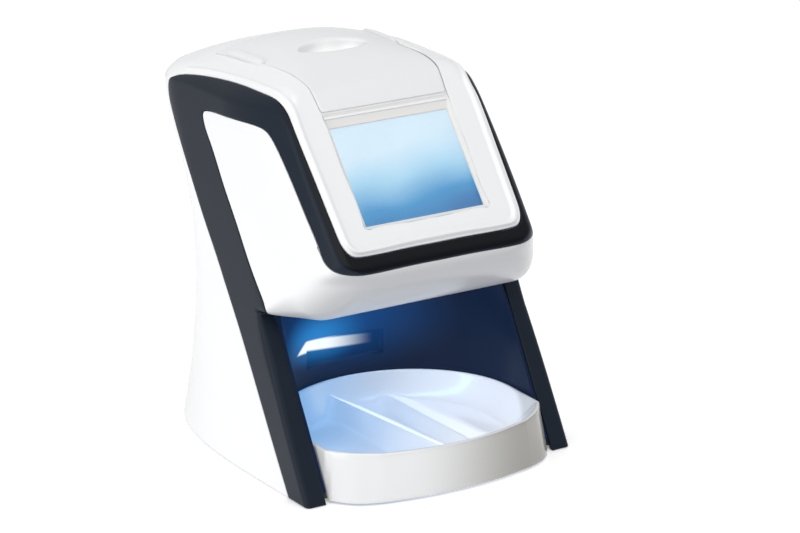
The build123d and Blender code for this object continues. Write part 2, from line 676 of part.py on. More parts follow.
def motor_parts():
    """Motor inside the right side plate, with its shaft, pulley and belt."""
    half = MOTOR_SIZE / 2
    face = CHASSIS_HALF - CHASSIS_PLATE
    body = slab((face - MOTOR_LENGTH, MOTOR_Y - half, MOTOR_Z - half), (face, MOTOR_Y + half, MOTOR_Z + half))
    body = fillet(body.edges().filter_by(Axis.X), BUSH_FLANGE)
    body -= rod(MOTOR_Y, MOTOR_Z, MOTOR_SHAFT_RADIUS + SHAFT_FIT, face - MOTOR_LENGTH / 2, FAR)
    pulley_end = PULLEY_START + PULLEY_WIDTH + 2 * PULLEY_FLANGE
    shaft = rod(MOTOR_Y, MOTOR_Z, MOTOR_SHAFT_RADIUS, face - MOTOR_LENGTH / 2 + SEAM, pulley_end)
    circles = [(drive_y(), UPPER_NIP_Z, PULLEY_RADIUS), (drive_y(), LOWER_NIP_Z, PULLEY_RADIUS),
               (MOTOR_Y, MOTOR_Z, MOTOR_PULLEY_RADIUS)]

    def hull(extra):
        edges = [Edge.make_circle(r + extra).moved(Location((y, z, 0))) for y, z, r in circles]
        return make_hull(edges)
    ring = hull(BELT_GAP + BELT_THICKNESS) - hull(BELT_GAP)
    start = PULLEY_START + PULLEY_FLANGE + BELT_GAP
    belt = across(Plane.YZ * ring, start, start + PULLEY_WIDTH - 2 * BELT_GAP)
    return {"transport_motor": body, "motor_shaft": shaft, "drive_belt": belt,
            "motor_pulley": pulley(MOTOR_Y, MOTOR_Z, MOTOR_PULLEY_RADIUS, MOTOR_SHAFT_RADIUS)}


def guide_parts():
    """Entry funnel under the crown, exit guide behind the chamber, and the eraser."""
    gap = SLOT_GAP / 2
    half = SLOT_HALF_LENGTH + GUIDE_WALL
    chute = slab((-half, PATH_Y - gap - GUIDE_WALL, CHUTE_LOW), (half, PATH_Y + gap + GUIDE_WALL, FUNNEL_TOP))
    head_z = FUNNEL_TOP - FUNNEL_FLARE - GUIDE_WALL
    head = slab((-half - GUIDE_WALL, PATH_Y - ENTRY_HALF_WIDTH - GUIDE_WALL, head_z),
                (half + GUIDE_WALL, PATH_Y + ENTRY_HALF_WIDTH + GUIDE_WALL, FUNNEL_TOP))
    flange = slab((-CHASSIS_HALF, PATH_Y - ENTRY_HALF_WIDTH, CHASSIS_TOP_Z),
                  (CHASSIS_HALF, PATH_Y + ENTRY_HALF_WIDTH, CHASSIS_TOP_Z + GUIDE_WALL))
    slot = slab((-SLOT_HALF_LENGTH, PATH_Y - gap, 0), (SLOT_HALF_LENGTH, PATH_Y + gap, FAR))
    mouth = Pos(0, PATH_Y, FUNNEL_TOP) * Rectangle(2 * SLOT_HALF_LENGTH + GUIDE_WALL, 2 * ENTRY_HALF_WIDTH - GUIDE_WALL)
    throat = Pos(0, PATH_Y, FUNNEL_TOP - FUNNEL_FLARE) * Rectangle(2 * SLOT_HALF_LENGTH, SLOT_GAP)
    funnel = chute + head + flange - slot - loft([throat, mouth])
    back = PATH_Y + gap
    wall = back + GUIDE_WALL
    toe_y = back - RAMP_REACH
    ramp_top = EXIT_HIGH
    rear = across(side_polygon((back, EXIT_GUIDE_TOP), (wall, EXIT_GUIDE_TOP), (wall, ramp_top),
                               (toe_y, EXIT_LOW), (toe_y, EXIT_LOW + RAMP_THICKNESS), (back, ramp_top + RAMP_THICKNESS)),
                  -EXIT_GUIDE_HALF, EXIT_GUIDE_HALF)
    front = slab((-EXIT_GUIDE_HALF, EXIT_FRONT_Y, EXIT_FRONT_LOW),
                 (EXIT_GUIDE_HALF, EXIT_FRONT_Y + EXIT_GUIDE_FRONT, EXIT_GUIDE_TOP))
    guide = rear + front
    for side in (-1, 1):
        cheek = sorted((side * EXIT_GUIDE_HALF, side * (EXIT_GUIDE_HALF - EXIT_GUIDE_SIDE)))
        guide += slab((cheek[0], EXIT_FRONT_Y, EXIT_FRONT_LOW), (cheek[1], wall, EXIT_GUIDE_TOP))
        lug = sorted((side * EXIT_GUIDE_HALF, side * (CHASSIS_HALF - CHASSIS_PLATE)))
        guide += slab((lug[0], back, ERASER_HIGH), (lug[1], wall, EXIT_GUIDE_TOP))
    lamp = slab((-ERASER_HALF, wall, ERASER_LOW), (ERASER_HALF, wall + BOARD_THICKNESS, ERASER_HIGH))
    return {"entry_funnel": funnel, "exit_guide": guide, "eraser_lamp": lamp}


def optics_parts():
    """Laser, oscillating mirror, light guide and detector on their bench."""
    top = BENCH_Z + BENCH_THICKNESS
    bench = slab((-BENCH_HALF, BENCH_FRONT, BENCH_Z), (BENCH_HALF, BENCH_BACK, top))
    for x in (-BENCH_HALF + BENCH_POST_INSET, BENCH_HALF - BENCH_POST_INSET):
        for y in (BENCH_FRONT + 2 * BENCH_POST_INSET, BENCH_BACK - BENCH_POST_INSET):
            bench += post(x, y, BENCH_POST_RADIUS, LEG_TOP - SEAM, BENCH_Z)
    scanner = post(0, MIRROR_Y, SCANNER_RADIUS, top, top + SCANNER_HEIGHT)
    scanner -= post(0, MIRROR_Y, MIRROR_PIN_RADIUS + SHAFT_FIT, top + SCANNER_HEIGHT / 4, FAR)
    pin_top = SCAN_Z + MIRROR_SIZE / 2
    plate = Pos(0, MIRROR_Y, SCAN_Z) * Rot(0, 0, -45) * Box(MIRROR_THICKNESS, MIRROR_SIZE, MIRROR_SIZE)
    mirror_piece = plate + post(0, MIRROR_Y, MIRROR_PIN_RADIUS, top + SCANNER_HEIGHT / 4 + SEAM, pin_top)
    laser = rod(MIRROR_Y, SCAN_Z, LASER_RADIUS, -LASER_GAP - LASER_LENGTH, -LASER_GAP)
    mount = slab((-LASER_GAP - LASER_LENGTH + BENCH_THICKNESS, MIRROR_Y - LASER_RADIUS - BENCH_THICKNESS, top),
                 (-LASER_GAP - BENCH_THICKNESS, MIRROR_Y + LASER_RADIUS + BENCH_THICKNESS, SCAN_Z))
    mount -= laser
    end = -CHASSIS_HALF - SHAFT_OVERHANG
    bar = across(side_polygon((GUIDE_BAR_FRONT, GUIDE_BAR_HIGH), (GUIDE_BAR_FRONT, GUIDE_BAR_LOW + SHAFT_OVERHANG),
                              (GUIDE_BAR_BACK, GUIDE_BAR_LOW), (GUIDE_BAR_BACK, GUIDE_BAR_HIGH)),
                 end, ROLLER_HALF_LENGTH)
    middle_y = (GUIDE_BAR_FRONT + GUIDE_BAR_BACK) / 2
    middle_z = (GUIDE_BAR_LOW + GUIDE_BAR_HIGH) / 2
    detector = rod(middle_y, middle_z, DETECTOR_RADIUS, end - DETECTOR_LENGTH, end)
    return {"optics_bench": bench, "mirror_scanner": scanner, "scan_mirror": mirror_piece,
            "laser_module": laser, "laser_mount": mount, "light_guide": bar, "light_detector": detector}


def board_parts():
    """Main board beside the chassis, power board at the back, and the chamber's lamp."""
    face = MAIN_BOARD_X + BOARD_THICKNESS
    main_board = slab((MAIN_BOARD_X, MAIN_BOARD_FRONT, MAIN_BOARD_LOW), (face, MAIN_BOARD_BACK, MAIN_BOARD_HIGH))
    posts = []
    for y in (CHASSIS_FRONT_HIGH + POST_INSET, MAIN_BOARD_BACK - POST_INSET):
        for z in (MAIN_BOARD_LOW + POST_INSET, MAIN_BOARD_HIGH - POST_INSET):
            posts.append(rod(y, z, POST_RADIUS, face, -CHASSIS_HALF))
    power = slab((-POWER_BOARD_HALF, POWER_BOARD_FRONT, POWER_BOARD_Z),
                 (POWER_BOARD_HALF, POWER_BOARD_BACK, POWER_BOARD_Z + BOARD_THICKNESS))
    for side in (-1, 1):
        for y in (POWER_BOARD_FRONT + POST_INSET, POWER_BOARD_BACK - POST_INSET):
            posts.append(post(side * (POWER_BOARD_HALF - POST_INSET), y, POST_RADIUS, BASE_TOP, POWER_BOARD_Z))
    ceiling = LEG_TOP - SEAM - LINER_WALL
    lamp = slab((-LAMP_HALF_LENGTH, LAMP_Y - LAMP_WIDTH / 2, ceiling - LAMP_THICKNESS),
                (LAMP_HALF_LENGTH, LAMP_Y + LAMP_WIDTH / 2, ceiling))
    return {"main_board": main_board, "board_posts": Compound(posts), "power_board": power,
            "chamber_lamp": lamp}


def boxed(x, y, z, size):
    """Box by its middle in X and Z and its near face in Y."""
    width, depth, height = size
    return slab((x - width / 2, y, z - height / 2), (x + width / 2, y + depth, z + height / 2))


def port_parts(outer):
    """Recessed panel in the back with its sockets and the power button."""
    face = PORT_PLATE_Y + PORT_WALL
    inside = slab((-PORT_HALF_WIDTH + PORT_WALL, face, PORT_LOW + PORT_WALL),
                  (PORT_HALF_WIDTH - PORT_WALL, FAR, PORT_HIGH - PORT_WALL))
    panel = (pocket() & outer) - inside
    inlet = pin(INLET_X, PORT_Z, INLET_RADIUS, PORT_PLATE_Y, face + INLET_LENGTH)
    panel -= inlet
    inlet -= pin(INLET_X, PORT_Z, INLET_BORE, face + INLET_LENGTH - INLET_BORE_DEPTH + PORT_WALL, FAR)
    socket_start = face + SOCKET_SIZE[1] - SOCKET_BODY
    socket = boxed(SOCKET_X, socket_start, PORT_Z, (SOCKET_SIZE[0], SOCKET_BODY, SOCKET_SIZE[2]))
    panel -= socket
    socket -= boxed(SOCKET_X, face + SOCKET_SIZE[1] - SOCKET_CAVITY[1], PORT_Z,
                    (SOCKET_CAVITY[0], SOCKET_BODY, SOCKET_CAVITY[2]))
    usb = boxed(USB_X, PORT_PLATE_Y - PORT_WALL, PORT_Z, (USB_SIZE[0], USB_SIZE[1] + 2 * PORT_WALL, USB_SIZE[2]))
    panel -= usb
    button = pin(BUTTON_X, PORT_Z, BUTTON_RADIUS, PORT_PLATE_Y - BUTTON_TRAVEL, face + BUTTON_PROUD)
    panel -= pin(BUTTON_X, PORT_Z, BUTTON_RADIUS + BUTTON_GAP, 0, FAR)
    switch_face = PORT_PLATE_Y - 2 * BUTTON_TRAVEL - BUTTON_GAP
    base = POWER_BOARD_Z + BOARD_THICKNESS
    switch = slab((BUTTON_X - BUTTON_RADIUS, switch_face - BUTTON_RADIUS, base),
                  (BUTTON_X + BUTTON_RADIUS, switch_face, PORT_Z + BUTTON_RADIUS))
    return {"connector_panel": panel, "power_inlet": inlet, "data_socket": socket, "service_socket": usb,
            "power_button": button, "button_switch": switch}


def main():
    os.makedirs("parts", exist_ok=True)
    pieces, outer, inner = case_parts()
    pieces.update({"chamber_liner": chamber_liner(), "receiving_tray": receiving_tray()})
    for group in (base_parts(inner), display_parts(), chassis_parts(), roller_parts(), motor_parts(),
                  guide_parts(), optics_parts(), board_parts(), port_parts(outer)):
        pieces.update(group)
    for name, shape in pieces.items():
        export_step(shape, f"parts/{name}.step")
    print(len(pieces), "pieces written")


main()
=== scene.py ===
"""Looks of a desktop scanner for phosphor imaging plates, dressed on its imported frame.

Sizes are in millimetres and become metres through MM where a mesh is made.
Frame: +Z up, the tray faces -Y, X to the right seen from the front.
"""
import math

import bmesh
import bpy
import numpy as np
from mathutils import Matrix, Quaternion, Vector


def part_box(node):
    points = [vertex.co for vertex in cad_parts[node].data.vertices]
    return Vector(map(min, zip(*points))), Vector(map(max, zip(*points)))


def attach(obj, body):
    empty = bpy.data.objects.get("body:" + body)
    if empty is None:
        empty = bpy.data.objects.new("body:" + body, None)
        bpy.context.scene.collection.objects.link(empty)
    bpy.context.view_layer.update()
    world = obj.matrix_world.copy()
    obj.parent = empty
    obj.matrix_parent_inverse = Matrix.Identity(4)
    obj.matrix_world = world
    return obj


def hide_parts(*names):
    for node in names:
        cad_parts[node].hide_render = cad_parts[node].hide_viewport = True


MM = 0.001
EPS = 1e-9

# Directions, and the change of sign that mirrors a point
SIDE = (1.0, 0.0, 0.0)
REAR = (0.0, 1.0, 0.0)
UP = (0.0, 0.0, 1.0)
DOWN = (0.0, 0.0, -1.0)
DIAGONAL = (1.0, -1.0, 0.0)
MIRROR_X = np.array((-1.0, 1.0, 1.0))

# Rays that look for the surface of the case
RAY_BACK = 14.0
RAY_AHEAD = 60.0
MARCH = 1.5
HALVINGS = 18
NORMAL_STEP = 0.4

# Outer form of the case, as in the solids
HALF_BASE = 75.0
DRAW_HEIGHT = 195.0
HEAD_DRAW = 16.7
DRAW_POWER = 2.2
LINE_START = -77.0
LINE_LEAN_share = 0.565
NOSE_DRAW_share = 0.225
NOSE_REACH = 60.0
FLANK = 37.0
LEG_TOP = 83.2
LEG_INNER = 64.2
REAR_LEVELS = (0.0, 31.2, 62.4, 91.7, 115.1, 134.6, 154.1, 173.6, 198.9)
REAR_REACH = (96.5, 80.3, 68.0, 59.3, 57.7, 65.6, 81.5, 92.2, 93.6)
REAR_SQUARE = (3.0, 3.0, 3.0, 3.05, 3.2, 3.5, 3.8, 4.0, 4.0)

# Crowns, as (top, radius across, depth where they fall away)
DOME = (193.5, 105.0, 48.0)
SHOULDER = (191.0, 170.0, 60.0)
CROWN_FALL_share = 0.214

# Screen panel: a plane tilted back
PANEL_MID = np.array((0.0, -48.0, 148.0))
PANEL_TILT = math.radians(38.9)
PANEL_OUT = np.array((0.0, -math.cos(PANEL_TILT), math.sin(PANEL_TILT)))
PANEL_UP = np.array((0.0, math.sin(PANEL_TILT), math.cos(PANEL_TILT)))
CHIN_Z = 110.5
BROW_Z = 176.0
BEZEL_LOW = -40.0
SCREEN_HALF = (33.0, 25.5)
BEVEL_SIDE = 2.0
BEVEL_TOP = 7.0
BEVEL_DEPTH = 1.6
GLASS_DEPTH = 2.5

# Side outline of the nose and the crown, as (depth, height)
BELLY = ((-50.0, 83.2), (-59.9, 84.6), (-69.2, 92.2), (-76.3, 103.1))
ROOF = ((-20.0, 182.6), (-10.0, 187.0), (0.0, 190.0), (10.0, 191.9), (22.0, 193.3), (34.0, 194.0),
        (48.0, 193.5), (60.0, 191.3), (72.0, 187.9), (83.0, 183.0), (90.6, 172.6), (92.6, 159.9))
BELLY_COUNT = 40
ROOF_COUNT = 90
BACK_Y = 116.0
BACK_TOP = 146.0
BELOW_Z = -20.0
GRID_LOW = (-110, -15)
GRID_HIGH = (130, 215)
GRID_STEP = 0.5
GRID_END = 1.001

# Rounding where the surfaces of the case meet
EDGE_FACE = 3.0
EDGE_NOSE = 17.0
EDGE_ROOF = 9.0
EDGE_LEG = 2.6
EDGE_FINE = 0.8
CROWN_BLEND = 3.0
BROW_ROUND = 9.0
CHIN_ROUND = 4.0
LEG_EDGE_Z = (62.0, 82.0)
NOSE_EDGE_DEPTH = (30.0, 56.0)
CHIN_EDGE_Z = (104.0, 116.0)
ROOF_EDGE_Z = (168.0, 184.0)

# Seams and rolled edges of the moulded pieces
SEAM = 0.18
ROLL = 0.55
MARGIN = SEAM + ROLL
SKIRT = 2.2
SHEET = 1.2
ROLL_STEPS = 4
WELD = 0.01
TABLE_GAP = 0.3
INSIDE_share = (0.4, 0.3, 0.5)
INSIDE_SHIFT = (0.0, 5.0, 60.0)

# Top cover: half its width at places along its depth
COVER_FRONT_S = 33.0
COVER_REAR_Y = 62.0
COVER_DEPTHS = (-27.3, -16.0, -8.0, 0.0, 10.0, 17.0, 22.0, 27.0, 33.0, 45.0, 62.0)
COVER_HALVES = (35.3, 36.4, 36.8, 36.7, 36.8, 37.2, 38.8, 40.3, 41.0, 41.6, 42.0)


def smooth(low, high, amount):
    """Smooth step from 0 to 1."""
    t = np.clip((amount - low) / (high - low), 0.0, 1.0)
    return t * t * (3 - 2 * t)


def unit(v):
    v = np.asarray(v, float)
    return v / np.maximum(np.linalg.norm(v, axis=-1, keepdims=True), EPS)


class Cubic:
    """Natural cubic spline of any number of values over one parameter."""

    def __init__(self, knots, values):
        self.t = np.asarray(knots, float)
        self.v = np.asarray(values, float)
        h = np.diff(self.t)
        n = len(self.t)
        matrix = np.eye(n)
        right = np.zeros_like(self.v)
        for i in range(1, n - 1):
            matrix[i, i - 1:i + 2] = h[i - 1], 2 * (h[i - 1] + h[i]), h[i]
            right[i] = 6 * ((self.v[i + 1] - self.v[i]) / h[i] - (self.v[i] - self.v[i - 1]) / h[i - 1])
        self.m = np.linalg.solve(matrix, right)

    def __call__(self, t):
        t = np.asarray(t, float)
        i = np.clip(np.searchsorted(self.t, t) - 1, 0, len(self.t) - 2)
        h = self.t[i + 1] - self.t[i]
        a, b = self.t[i + 1] - t, t - self.t[i]
        if self.v.ndim > 1:
            h, a, b = h[..., None], a[..., None], b[..., None]
        ends = self.m[i] * a ** 3 + self.m[i + 1] * b ** 3
        return (ends / (6 * h) + (self.v[i] / h - self.m[i] * h / 6) * a
                + (self.v[i + 1] / h - self.m[i + 1] * h / 6) * b)


def compass(angles):
    """Flat directions at angles."""
    return np.stack([np.cos(angles), np.sin(angles)], axis=1)


def chords(points):
    """Running length along points."""
    return np.concatenate([[0.0], np.cumsum(np.linalg.norm(np.diff(points, axis=0), axis=1))])


def read(values, knots, t):
    """Rows of values read at places between knots."""
    return np.stack([np.interp(t, knots, column) for column in values.T], axis=1)


def through(points, count):
    """Points along a smooth curve through the given ones."""
    points = np.asarray(points, float)
    knots = chords(points)
    return Cubic(knots, points)(np.linspace(0, knots[-1], count))


def corner(before, point, after, cut, count=9):
    """Points that round a corner off, starting and ending at a distance from it."""
    before, point, after = (np.asarray(p, float) for p in (before, point, after))
    start = point + unit(before - point) * cut
    end = point + unit(after - point) * cut
    t = np.linspace(0, 1, count)[:, None]
    return (1 - t) ** 2 * start + 2 * t * (1 - t) * point + t ** 2 * end


def panel_point(x, s, depth=0.0):
    """Point of the screen panel by its place across and up it."""
    x, s = np.broadcast_arrays(np.asarray(x, float), np.asarray(s, float))
    point = PANEL_MID + s[..., None] * PANEL_UP - depth * PANEL_OUT
    point = np.array(point)
    point[..., 0] += x
    return point


def half_width(z):
    return HALF_BASE - HEAD_DRAW * (np.maximum(z, 0) / DRAW_HEIGHT) ** DRAW_POWER


def line_y(z):
    """Depth of the widest line of the case, which is the front of the legs."""
    return LINE_START + LINE_LEAN_share * z


def side_outline():
    """Closed side outline with its brow and chin rounded."""
    chin, brow = (np.array((PANEL_MID[1] + (z - PANEL_MID[2]) * math.tan(PANEL_TILT), z))
                  for z in (CHIN_Z, BROW_Z))
    belly = through([*BELLY, chin], BELLY_COUNT)
    roof = through([brow, *ROOF], ROOF_COUNT)
    near = np.linalg.norm(belly - chin, axis=1) > CHIN_ROUND
    far = np.linalg.norm(roof - brow, axis=1) > BROW_ROUND
    points = [(line_y(BELOW_Z), BELOW_Z), (line_y(LEG_TOP), LEG_TOP)]
    points += list(belly[near])
    points += list(corner(belly[-4], chin, brow, CHIN_ROUND))
    points += list(corner(chin, brow, roof[far][0], BROW_ROUND))
    points += list(roof[far])
    points += [(BACK_Y, BACK_TOP), (BACK_Y, BELOW_Z)]
    return np.array(points)


def signed_grid(polygon, low, high, step):
    """Signed distance to a polygon, negative inside, on a grid over (depth, height)."""
    ys = np.arange(low[0], high[0], step)
    zs = np.arange(low[1], high[1], step)
    y, z = np.meshgrid(ys, zs, indexing="ij")
    best = np.full(y.shape, np.inf)
    inside = np.zeros(y.shape, bool)
    for (ay, az), (by, bz) in zip(polygon, np.roll(polygon, -1, axis=0)):
        ey, ez = by - ay, bz - az
        t = np.clip(((y - ay) * ey + (z - az) * ez) / max(ey * ey + ez * ez, EPS), 0, 1)
        best = np.minimum(best, np.hypot(y - ay - t * ey, z - az - t * ez))
        if az != bz:
            crosses = ((az > z) != (bz > z)) & (y < ay + (z - az) / (bz - az) * ey)
            inside ^= crosses
    return ys, zs, np.where(inside, -best, best)


GRID_Y, GRID_Z, GRID = signed_grid(side_outline(), GRID_LOW, GRID_HIGH, GRID_STEP)
REACH_CURVE = Cubic(REAR_LEVELS, REAR_REACH)
SQUARE_CURVE = Cubic(REAR_LEVELS, REAR_SQUARE)


def outline_value(y, z):
    """Signed distance to the side outline, read from its grid."""
    fy = np.clip((y - GRID_Y[0]) / GRID_STEP, 0, len(GRID_Y) - GRID_END)
    fz = np.clip((z - GRID_Z[0]) / GRID_STEP, 0, len(GRID_Z) - GRID_END)
    i, j = fy.astype(int), fz.astype(int)
    a, b = fy - i, fz - j
    return ((1 - a) * (1 - b) * GRID[i, j] + a * (1 - b) * GRID[i + 1, j]
            + (1 - a) * b * GRID[i, j + 1] + a * b * GRID[i + 1, j + 1])


def side_value(x, y, z):
    """Signed distance, about, to the sides and the back."""
    ahead = np.maximum(line_y(z) - y, 0)
    width = half_width(z) * (1 - NOSE_DRAW_share * (ahead / NOSE_REACH) ** 2)
    start = line_y(z) + FLANK
    level = np.clip(z, REAR_LEVELS[0], REAR_LEVELS[-1])
    behind = np.maximum(y - start, 0) / (REACH_CURVE(level) - start)
    square = SQUARE_CURVE(level)
    return (((x / width) ** square + behind ** square + EPS) ** (1 / square) - 1) * width


def join(a, b, radius):
    """Meeting of two surfaces with a rounded edge."""
    outer = np.minimum(-radius, np.maximum(a, b))
    return outer + np.hypot(np.maximum(a + radius, 0), np.maximum(b + radius, 0))


def soft_max(a, b, blend):
    """The larger of two values, eased where they are close."""
    near = np.maximum(blend - np.abs(a - b), 0) / blend
    return np.maximum(a, b) + near * near * blend / 4


def edge_radius(y, z):
    """Rounding of the edge between the sides and the front, roof or nose, by place."""
    leg = EDGE_FINE + (EDGE_LEG - EDGE_FINE) * (1 - smooth(*LEG_EDGE_Z, z))
    low = EDGE_FACE + (EDGE_NOSE - EDGE_FACE) * smooth(*NOSE_EDGE_DEPTH, -y)
    nose = low + (EDGE_FACE - low) * smooth(*CHIN_EDGE_Z, z)
    head = nose + (EDGE_ROOF - EDGE_FACE) * smooth(*ROOF_EDGE_Z, z)
    return np.where(z < LEG_TOP, leg, head)


def crown(x, y, z, top, radius, fall_y):
    """Height above a crown that is round across and falls away at the back."""
    over = z + radius - np.sqrt(np.maximum(radius ** 2 - x ** 2, 0)) - top
    return soft_max(over, over + CROWN_FALL_share * (y - fall_y), CROWN_BLEND)


def value(p):
    """Below zero inside the case's outer form."""
    x, y, z = np.abs(p[..., 0]), p[..., 1], p[..., 2]
    dome, shoulder = crown(x, y, z, *DOME), crown(x, y, z, *SHOULDER)
    upper = soft_max(outline_value(y, z), -soft_max(-dome, -shoulder, CROWN_BLEND), CROWN_BLEND)
    return join(side_value(x, y, z), upper, edge_radius(y, z))


def normal(p):
    """Outward direction of the case's surface."""
    out = np.zeros_like(p)
    for axis in range(3):
        move = np.zeros(3)
        move[axis] = NORMAL_STEP
        out[..., axis] = value(p + move) - value(p - move)
    return unit(out)


def cast(points, out, back=RAY_BACK):
    """First place where rays from just behind the points leave the case."""
    high = np.full(points.shape[:-1], RAY_AHEAD)
    within = np.ones(points.shape[:-1], bool)
    for reach in np.arange(-back, RAY_AHEAD, MARCH):
        outside = value(points + out * reach) > 0
        high[within & outside] = reach
        within &= ~outside
        if not within.any():
            break
    low = high - MARCH
    for _ in range(HALVINGS):
        middle = (low + high) / 2
        inside = value(points + out * middle[..., None]) < 0
        low, high = np.where(inside, middle, low), np.where(inside, high, middle)
    return points + out * ((low + high) / 2)[..., None]


def rail(entries, breaks, counts):
    """Curve on the case through (point, outward direction) entries, sampled between breaks."""
    places = np.array([e[0] for e in entries], float)
    outs = unit(np.array([e[1] for e in entries], float))
    knots = chords(places)
    place, out = Cubic(knots, places), Cubic(knots, outs)
    t = [np.linspace(knots[a], knots[b], n, endpoint=False) for a, b, n in zip(breaks, breaks[1:], counts)]
    t = np.concatenate([*t, [knots[breaks[-1]]]])
    out = unit(out(t))
    return cast(place(t), out), out


def strip(a, b, columns, roll_a=True, roll_b=True, bead=None, margin_b=None):
    """Grid of points on the case between two rails, with rolled and skirted long edges."""
    (pa, na), (pb, nb) = a, b
    reach = np.linalg.norm(pb - pa, axis=1)
    if margin_b is None:
        margin_b = MARGIN if roll_b else 0.0
    ta = MARGIN / reach if roll_a else np.zeros(len(reach))
    tb = margin_b / reach
    t = (ta[:, None] + (1 - ta - tb)[:, None] * np.linspace(0, 1, columns))[..., None]
    points = pa[:, None] * (1 - t) + pb[:, None] * t
    grid = cast(points, unit(na[:, None] * (1 - t) + nb[:, None] * t))
    if bead is not None:
        along = np.linalg.norm(np.diff(grid, axis=1), axis=2)
        distance = np.concatenate([np.zeros((len(grid), 1)), np.cumsum(along, axis=1)], axis=1)
        grid = grid + normal(grid) * bead(distance)[..., None]
    if roll_a:
        grid = roll_edge(grid, first=True)
    if roll_b:
        grid = roll_edge(grid, first=False)
    return grid


def grid_normals(grid):
    """Normals of a grid of points, from its neighbours."""
    du = np.gradient(grid, axis=0)
    dv = np.gradient(grid, axis=1)
    return unit(np.cross(du, dv))


def roll_edge(grid, first, axis=1):
    """Add rows that roll a grid's edge over and close it inward."""
    if axis == 0:
        return roll_edge(grid.transpose(1, 0, 2), first).transpose(1, 0, 2)
    edge, inner = (grid[:, 0], grid[:, 1]) if first else (grid[:, -1], grid[:, -2])
    outward = unit(edge - inner)
    up = grid_normals(grid)[:, 0 if first else -1]
    inside = edge * INSIDE_share + INSIDE_SHIFT
    if ((edge - inside) * up).sum(axis=1).mean() < 0:
        up = -up
    up = unit(up - (up * outward).sum(axis=1)[:, None] * outward)
    rows = []
    for k in range(1, ROLL_STEPS + 1):
        angle = math.pi / 2 * k / ROLL_STEPS
        rows.append(edge + outward * ROLL * math.sin(angle) - up * ROLL * (1 - math.cos(angle)))
    rows.append(edge + outward * ROLL - up * SKIRT)
    rows = np.stack(rows, axis=1)
    if first:
        return np.concatenate([rows[:, ::-1], grid], axis=1)
    return np.concatenate([grid, rows], axis=1)


def grid_faces(rows, columns, offset, closed=False):
    faces = []
    for i in range(rows if closed else rows - 1):
        here, there = offset + i * columns, offset + (i + 1) % rows * columns
        faces += [(here + k, here + k + 1, there + k + 1, there + k) for k in range(columns - 1)]
    return faces


def placed(name, data):
    """New object in the scene."""
    thing = bpy.data.objects.new(name, data)
    bpy.context.scene.collection.objects.link(thing)
    return thing


def mesh_object(name, points, faces, material, body, slot=None, replaces=(), sheet=0.0, flip=False):
    """Smooth mesh from points in millimetres, riding on a body."""
    mesh = bpy.data.meshes.new(name)
    if flip:
        faces = [tuple(reversed(face)) for face in faces]
    mesh.from_pydata([tuple(p * MM) for p in np.asarray(points, float)], [], faces)
    weld(mesh)
    mesh.polygons.foreach_set("use_smooth", [True] * len(mesh.polygons))
    mesh.materials.append(material)
    thing = placed(name, mesh)
    if sheet:
        solid = thing.modifiers.new("thickness", "SOLIDIFY")
        solid.thickness = sheet * MM
        solid.offset = -1
    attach(thing, body)
    if replaces:
        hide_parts(*replaces)
    return thing


def points_in(grid):
    """True where a grid's own normals point into the case."""
    n = grid_normals(grid)
    i, j = grid.shape[0] // 2, grid.shape[1] // 2
    p = grid[i, j]
    return bool((n[i, j] * normal(p[None])[0]).sum() < 0)


def from_grids(name, grids, material, body, closed=False, **options):
    """One object from several grids: open ones on the case, or ones whose rows close on themselves."""
    points, faces = [], []
    for grid in grids:
        new = grid_faces(grid.shape[0], grid.shape[1], sum(len(p) for p in points), closed)
        # Faces run against a grid's normals, so an open grid whose normals point out is turned over
        if not closed and not points_in(grid):
            new = [tuple(reversed(face)) for face in new]
        points.append(grid.reshape(-1, 3))
        faces += new
    return mesh_object(name, np.concatenate(points), faces, material, body, **options)


def weld(mesh):
    """Join points that lie on each other, so that grids side by side shade as one."""
    work = bmesh.new()
    work.from_mesh(mesh)
    bmesh.ops.remove_doubles(work, verts=work.verts, dist=WELD * MM)
    work.to_mesh(mesh)
    work.free()


def mirrored(grid):
    return grid[:, ::-1] * MIRROR_X


def both_halves(grid):
    """A grid whose last row lies on the middle, and its mirror image."""
    return np.concatenate([grid, (grid * MIRROR_X)[::-1][1:]], axis=0)


# Materials
GRAIN_DETAIL = 4.0
GRAIN_DEPTH = 0.2
ROUGH_SPREAD = 0.03
ROUGH_LEAST = 0.01


def feed(node, inputs):
    """Give inputs of a node values or links."""
    for socket, given in inputs.items():
        if isinstance(given, bpy.types.NodeSocket):
            node.id_data.links.new(given, node.inputs[socket])
        else:
            node.inputs[socket].default_value = given


def add(tree, kind, inputs, output, **settings):
    """Add a node, feed it and return one of its outputs."""
    node = tree.nodes.new("ShaderNode" + kind)
    for name, setting in settings.items():
        setattr(node, name, setting)
    feed(node, inputs)
    return node.outputs[output]


def number(tree, operation, *inputs):
    return add(tree, "Math", dict(enumerate(inputs)), "Value", operation=operation)


def vector(tree, operation, *inputs, output="Vector"):
    return add(tree, "VectorMath", dict(enumerate(inputs)), output, operation=operation)


def coordinates(tree, kind="Object"):
    return add(tree, "TexCoord", {}, kind)


def shader_of(made):
    return made.node_tree.nodes["Principled BSDF"]


def ramp_of(tree, share, stops):
    """Colour from a ramp of (place, colour) stops."""
    color = add(tree, "ValToRGB", {"Fac": share}, "Color")
    elements = color.node.color_ramp.elements
    for element, (place, shade) in zip(elements, (stops[0], stops[-1])):
        element.position, element.color = place, (*shade, 1)
    for place, shade in stops[1:-1]:
        elements.new(place).color = (*shade, 1)
    return color


